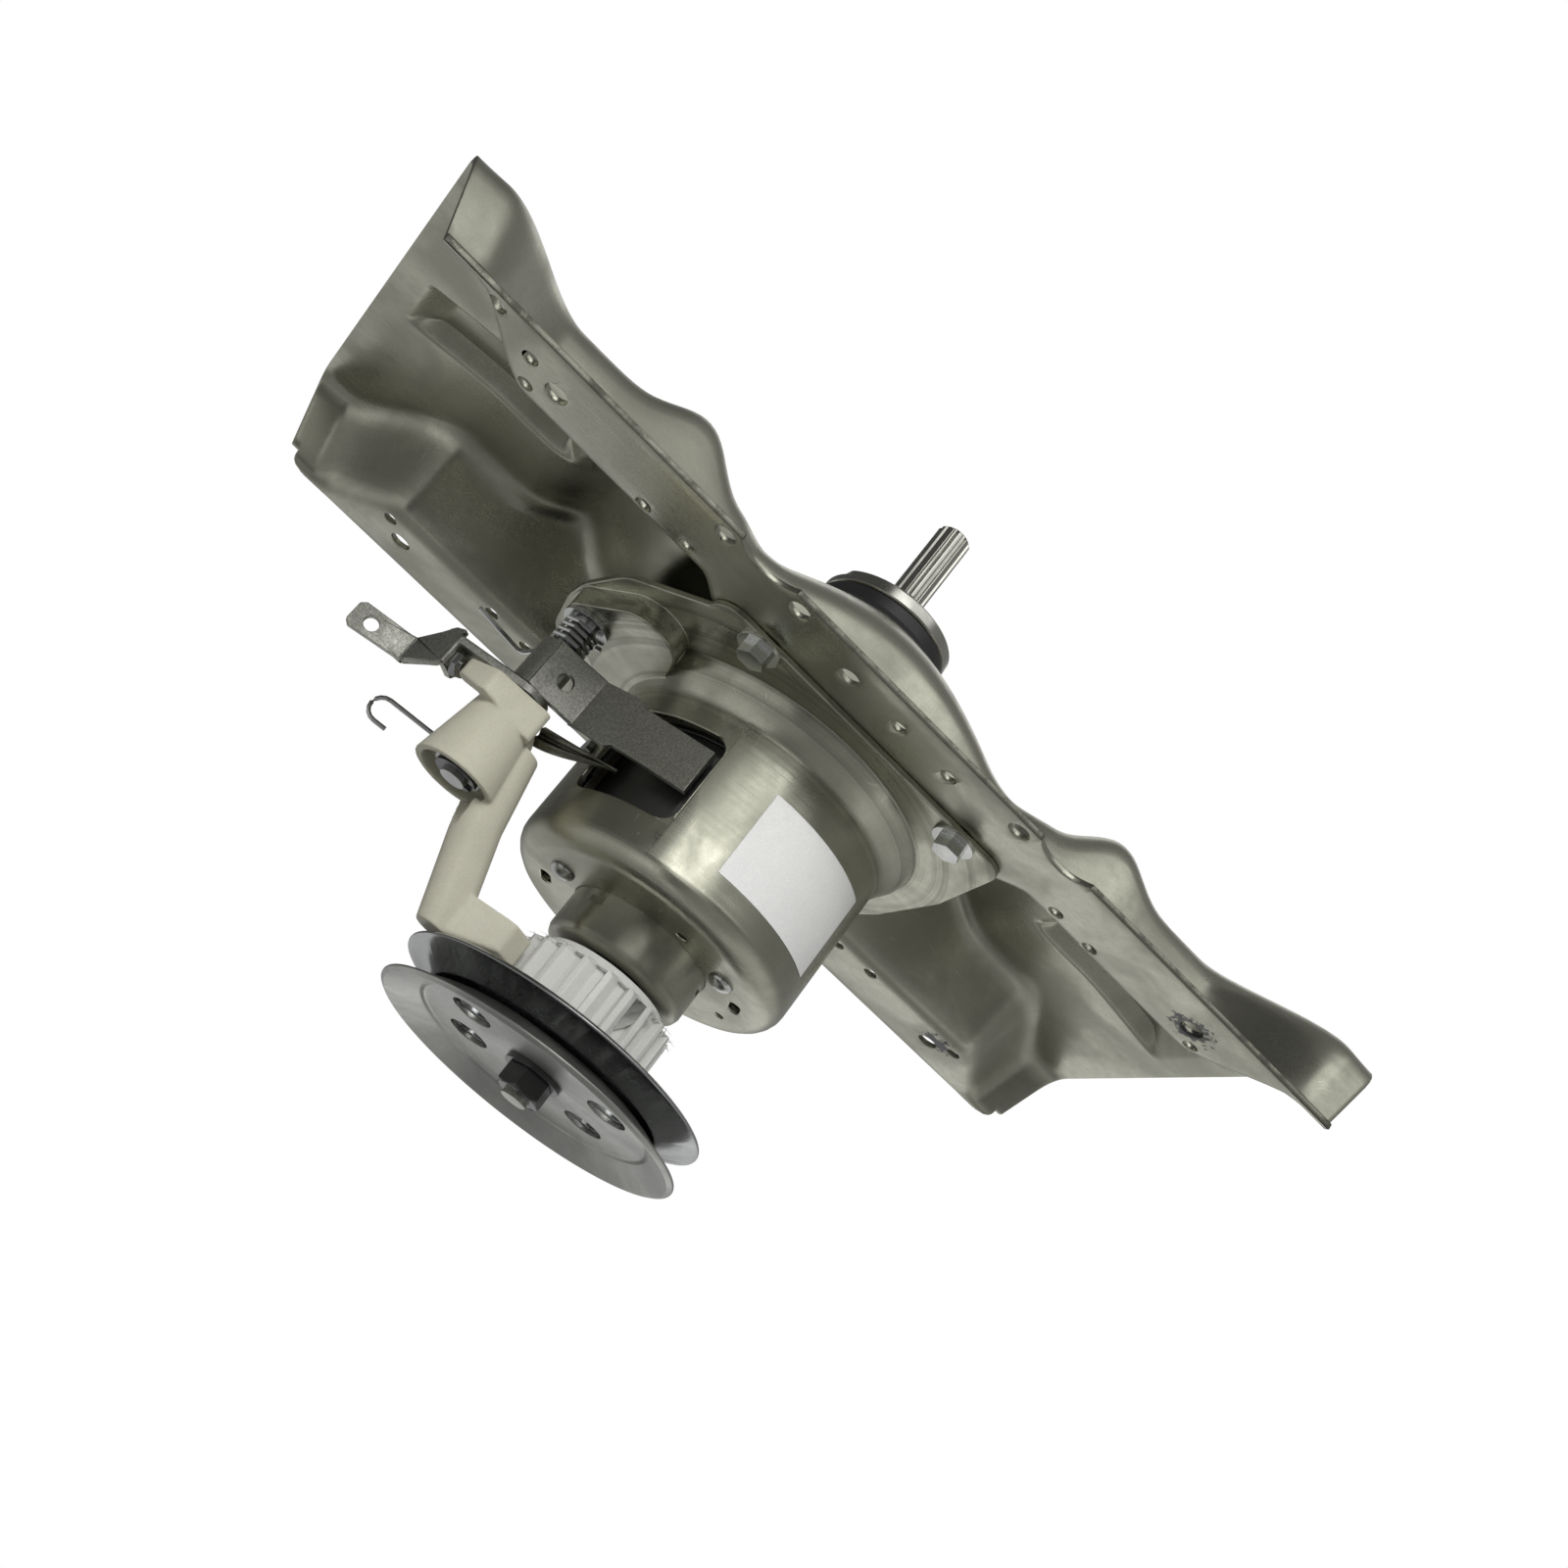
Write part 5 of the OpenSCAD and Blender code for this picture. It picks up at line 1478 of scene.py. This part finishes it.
@dataclass
class Studio:
    """Camera, lamps, floor and backdrop.

    Attributes:
        eye: Camera's place in millimetres.
        right: The picture's rightward direction.
        down: The picture's downward direction.
        forward: Viewing direction.
        focal_px: Focal length in pixels of the whole picture.
        picture_px: Width of the whole picture in pixels.
        sensor: Width of the camera's sensor in millimetres.
        floor_z: Height of the floor in millimetres.
        floor_size: Width of the floor in metres.
        target: Where the lamps point, in millimetres.
        lamps: The lamps.
        panels: The bright patches of the room.
        ambient: Brightness of the room on matt surfaces.
    """

    eye: Point = (-131.72, -504.47, -227.33)
    right: Point = (0.6964, -0.4433, 0.5644)
    down: Point = (0.6761, 0.1417, -0.7230)
    forward: Point = (0.2406, 0.8851, 0.3984)
    focal_px: float = 1967.2
    picture_px: float = 1600.0
    sensor: float = 36.0
    floor_z: float = -124.5
    floor_size: float = 6.0
    target: Point = (0.0, 0.0, -20.0)
    lamps: tuple[Lamp, ...] = (
        Lamp("key", (-290, -890, 330), 300, 6.2, mirrored=False),
        Lamp("low_fill", (250, -500, -420), 900, 0.5),
        Lamp("top", (200, 150, 600), 500, 1.5, mirrored=False),
    )
    panels: tuple[Panel, ...] = (
        Panel((0.15, -0.93, -0.30), 0.80, 0.10),
        Panel((-0.29, -0.89, 0.38), 0.975, 2.6),
        Panel((0.24, 0.66, 0.71), 0.94, 0.95),
        Panel((0.22, -0.66, 0.70), 0.935, 1.25),
        Panel((0.1, -0.1, 1.0), 0.90, 0.24),
        Panel((0.52, 0.75, -0.42), 0.965, 0.85),
    )
    ambient: float = 0.50

    def camera(self) -> None:
        """Sets the camera at the photograph's view."""
        data = bpy.data.cameras.new("photo_camera")
        data.sensor_width = self.sensor
        data.lens = self.sensor * self.focal_px / self.picture_px
        data.clip_start, data.clip_end = 0.01, 20
        camera = bpy.data.objects.new("photo_camera", data)
        bpy.context.scene.collection.objects.link(camera)
        back, up = -Vector(self.forward).normalized(), -Vector(self.down).normalized()
        turn = Matrix((Vector(self.right).normalized(), up, back)).transposed().to_4x4()
        camera.matrix_world = Matrix.Translation(Vector(self.eye) * MM) @ turn
        bpy.context.scene.camera = camera

    def floor(self) -> None:
        """Lays a pale floor that shows only from above and fades into the backdrop."""
        size, level = self.floor_size, self.floor_z * MM
        bpy.ops.mesh.primitive_plane_add(size=size, location=(0, 0, level))
        plane = bpy.context.active_object
        plane.name = "studio_floor"
        made = bpy.data.materials.new("pale_floor")
        made.use_nodes = True
        g = Graph(made.node_tree)
        paint = made.node_tree.nodes["Principled BSDF"]
        path = g.add("LightPath").outputs
        g.feed(g.mix(path["Is Camera Ray"], (0.38, 0.38, 0.36), grey(0.92)), paint.inputs["Base Color"])
        paint.inputs["Roughness"].default_value = 0.8
        away = g.vector("LENGTH", g.place())
        fade = g.math("MULTIPLY", path["Is Camera Ray"], g.ramp(away, 0.2, 1.1, to_low=0.35))
        white = g.add("Emission", Color=(1.0, 1.0, 1.0, 1.0), Strength=1.0)
        lit = g.add("MixShader", i0=fade, i1=paint.outputs[0], i2=white.outputs[0])
        hidden = g.math("MAXIMUM", g.add("NewGeometry").outputs["Backfacing"], path["Is Shadow Ray"])
        hidden = g.math("MAXIMUM", hidden, path["Is Glossy Ray"])
        clear = g.add("BsdfTransparent")
        mixed = g.add("MixShader", i0=hidden, i1=lit.outputs[0], i2=clear.outputs[0])
        g.feed(mixed.outputs[0], made.node_tree.nodes["Material Output"].inputs["Surface"])
        plane.data.materials.append(made)

    def world(self) -> None:
        """A white backdrop to the eye, and a soft room of light and grey to the metal."""
        world = bpy.data.worlds.new("studio")
        bpy.context.scene.world = world
        world.use_nodes = True
        g = Graph(world.node_tree)
        path = g.add("LightPath").outputs
        direction = g.add("TexCoord").outputs["Generated"]
        side, _, height = g.add("SeparateXYZ", Vector=direction).outputs
        walls = g.mix(g.ramp(side, -0.6, 0.4), grey(0.09), grey(0.27))
        under = g.mix(g.ramp(height, -0.95, -0.45), grey(0.26), grey(0.60))
        room = g.mix(g.ramp(height, -0.35, 0.15), under, walls)
        outside, inside = 0.05, 0.02
        for panel in self.panels:
            facing = g.vector("DOT_PRODUCT", direction, Vector(panel.aim).normalized())
            share = g.ramp(facing, panel.edge - outside, panel.edge + inside)
            room = g.mix(share, room, grey(panel.glow))
        lighting = g.mix(path["Is Glossy Ray"], grey(self.ambient), room)
        seen = g.math("MAXIMUM", path["Is Camera Ray"], path["Is Transmission Ray"])
        back = world.node_tree.nodes["Background"].inputs
        g.feed(g.mix(seen, lighting, grey(1.0)), back["Color"])
        back["Strength"].default_value = 1.0

    def build(self) -> None:
        """Sets up the whole studio."""
        self.camera()
        self.floor()
        self.world()
        for lamp in self.lamps:
            lamp.hang(self.target)
        bpy.context.scene.view_settings.view_transform = "Standard"


def main() -> None:
    """Builds the scene in order."""
    logging.basicConfig(level=logging.INFO, format="%(name)s %(message)s")
    for spare in list(bpy.data.objects):
        bpy.data.objects.remove(spare)
    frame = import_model()
    bench = Bench(frame, Finishes())
    steps: list[tuple[str, Callable[[], None]]] = [
        ("bracket", Bracket(bench).build),
        ("housing", Housing(bench).build),
        ("brake", Brake(bench).build),
        ("gear train", GearTrain(bench).build),
        ("pulley", Pulley(bench).build),
        ("studio", Studio().build),
    ]
    for name, step in steps:
        step()
        LOG.info("%s is finished", name)


if __name__ == "__main__":
    main()
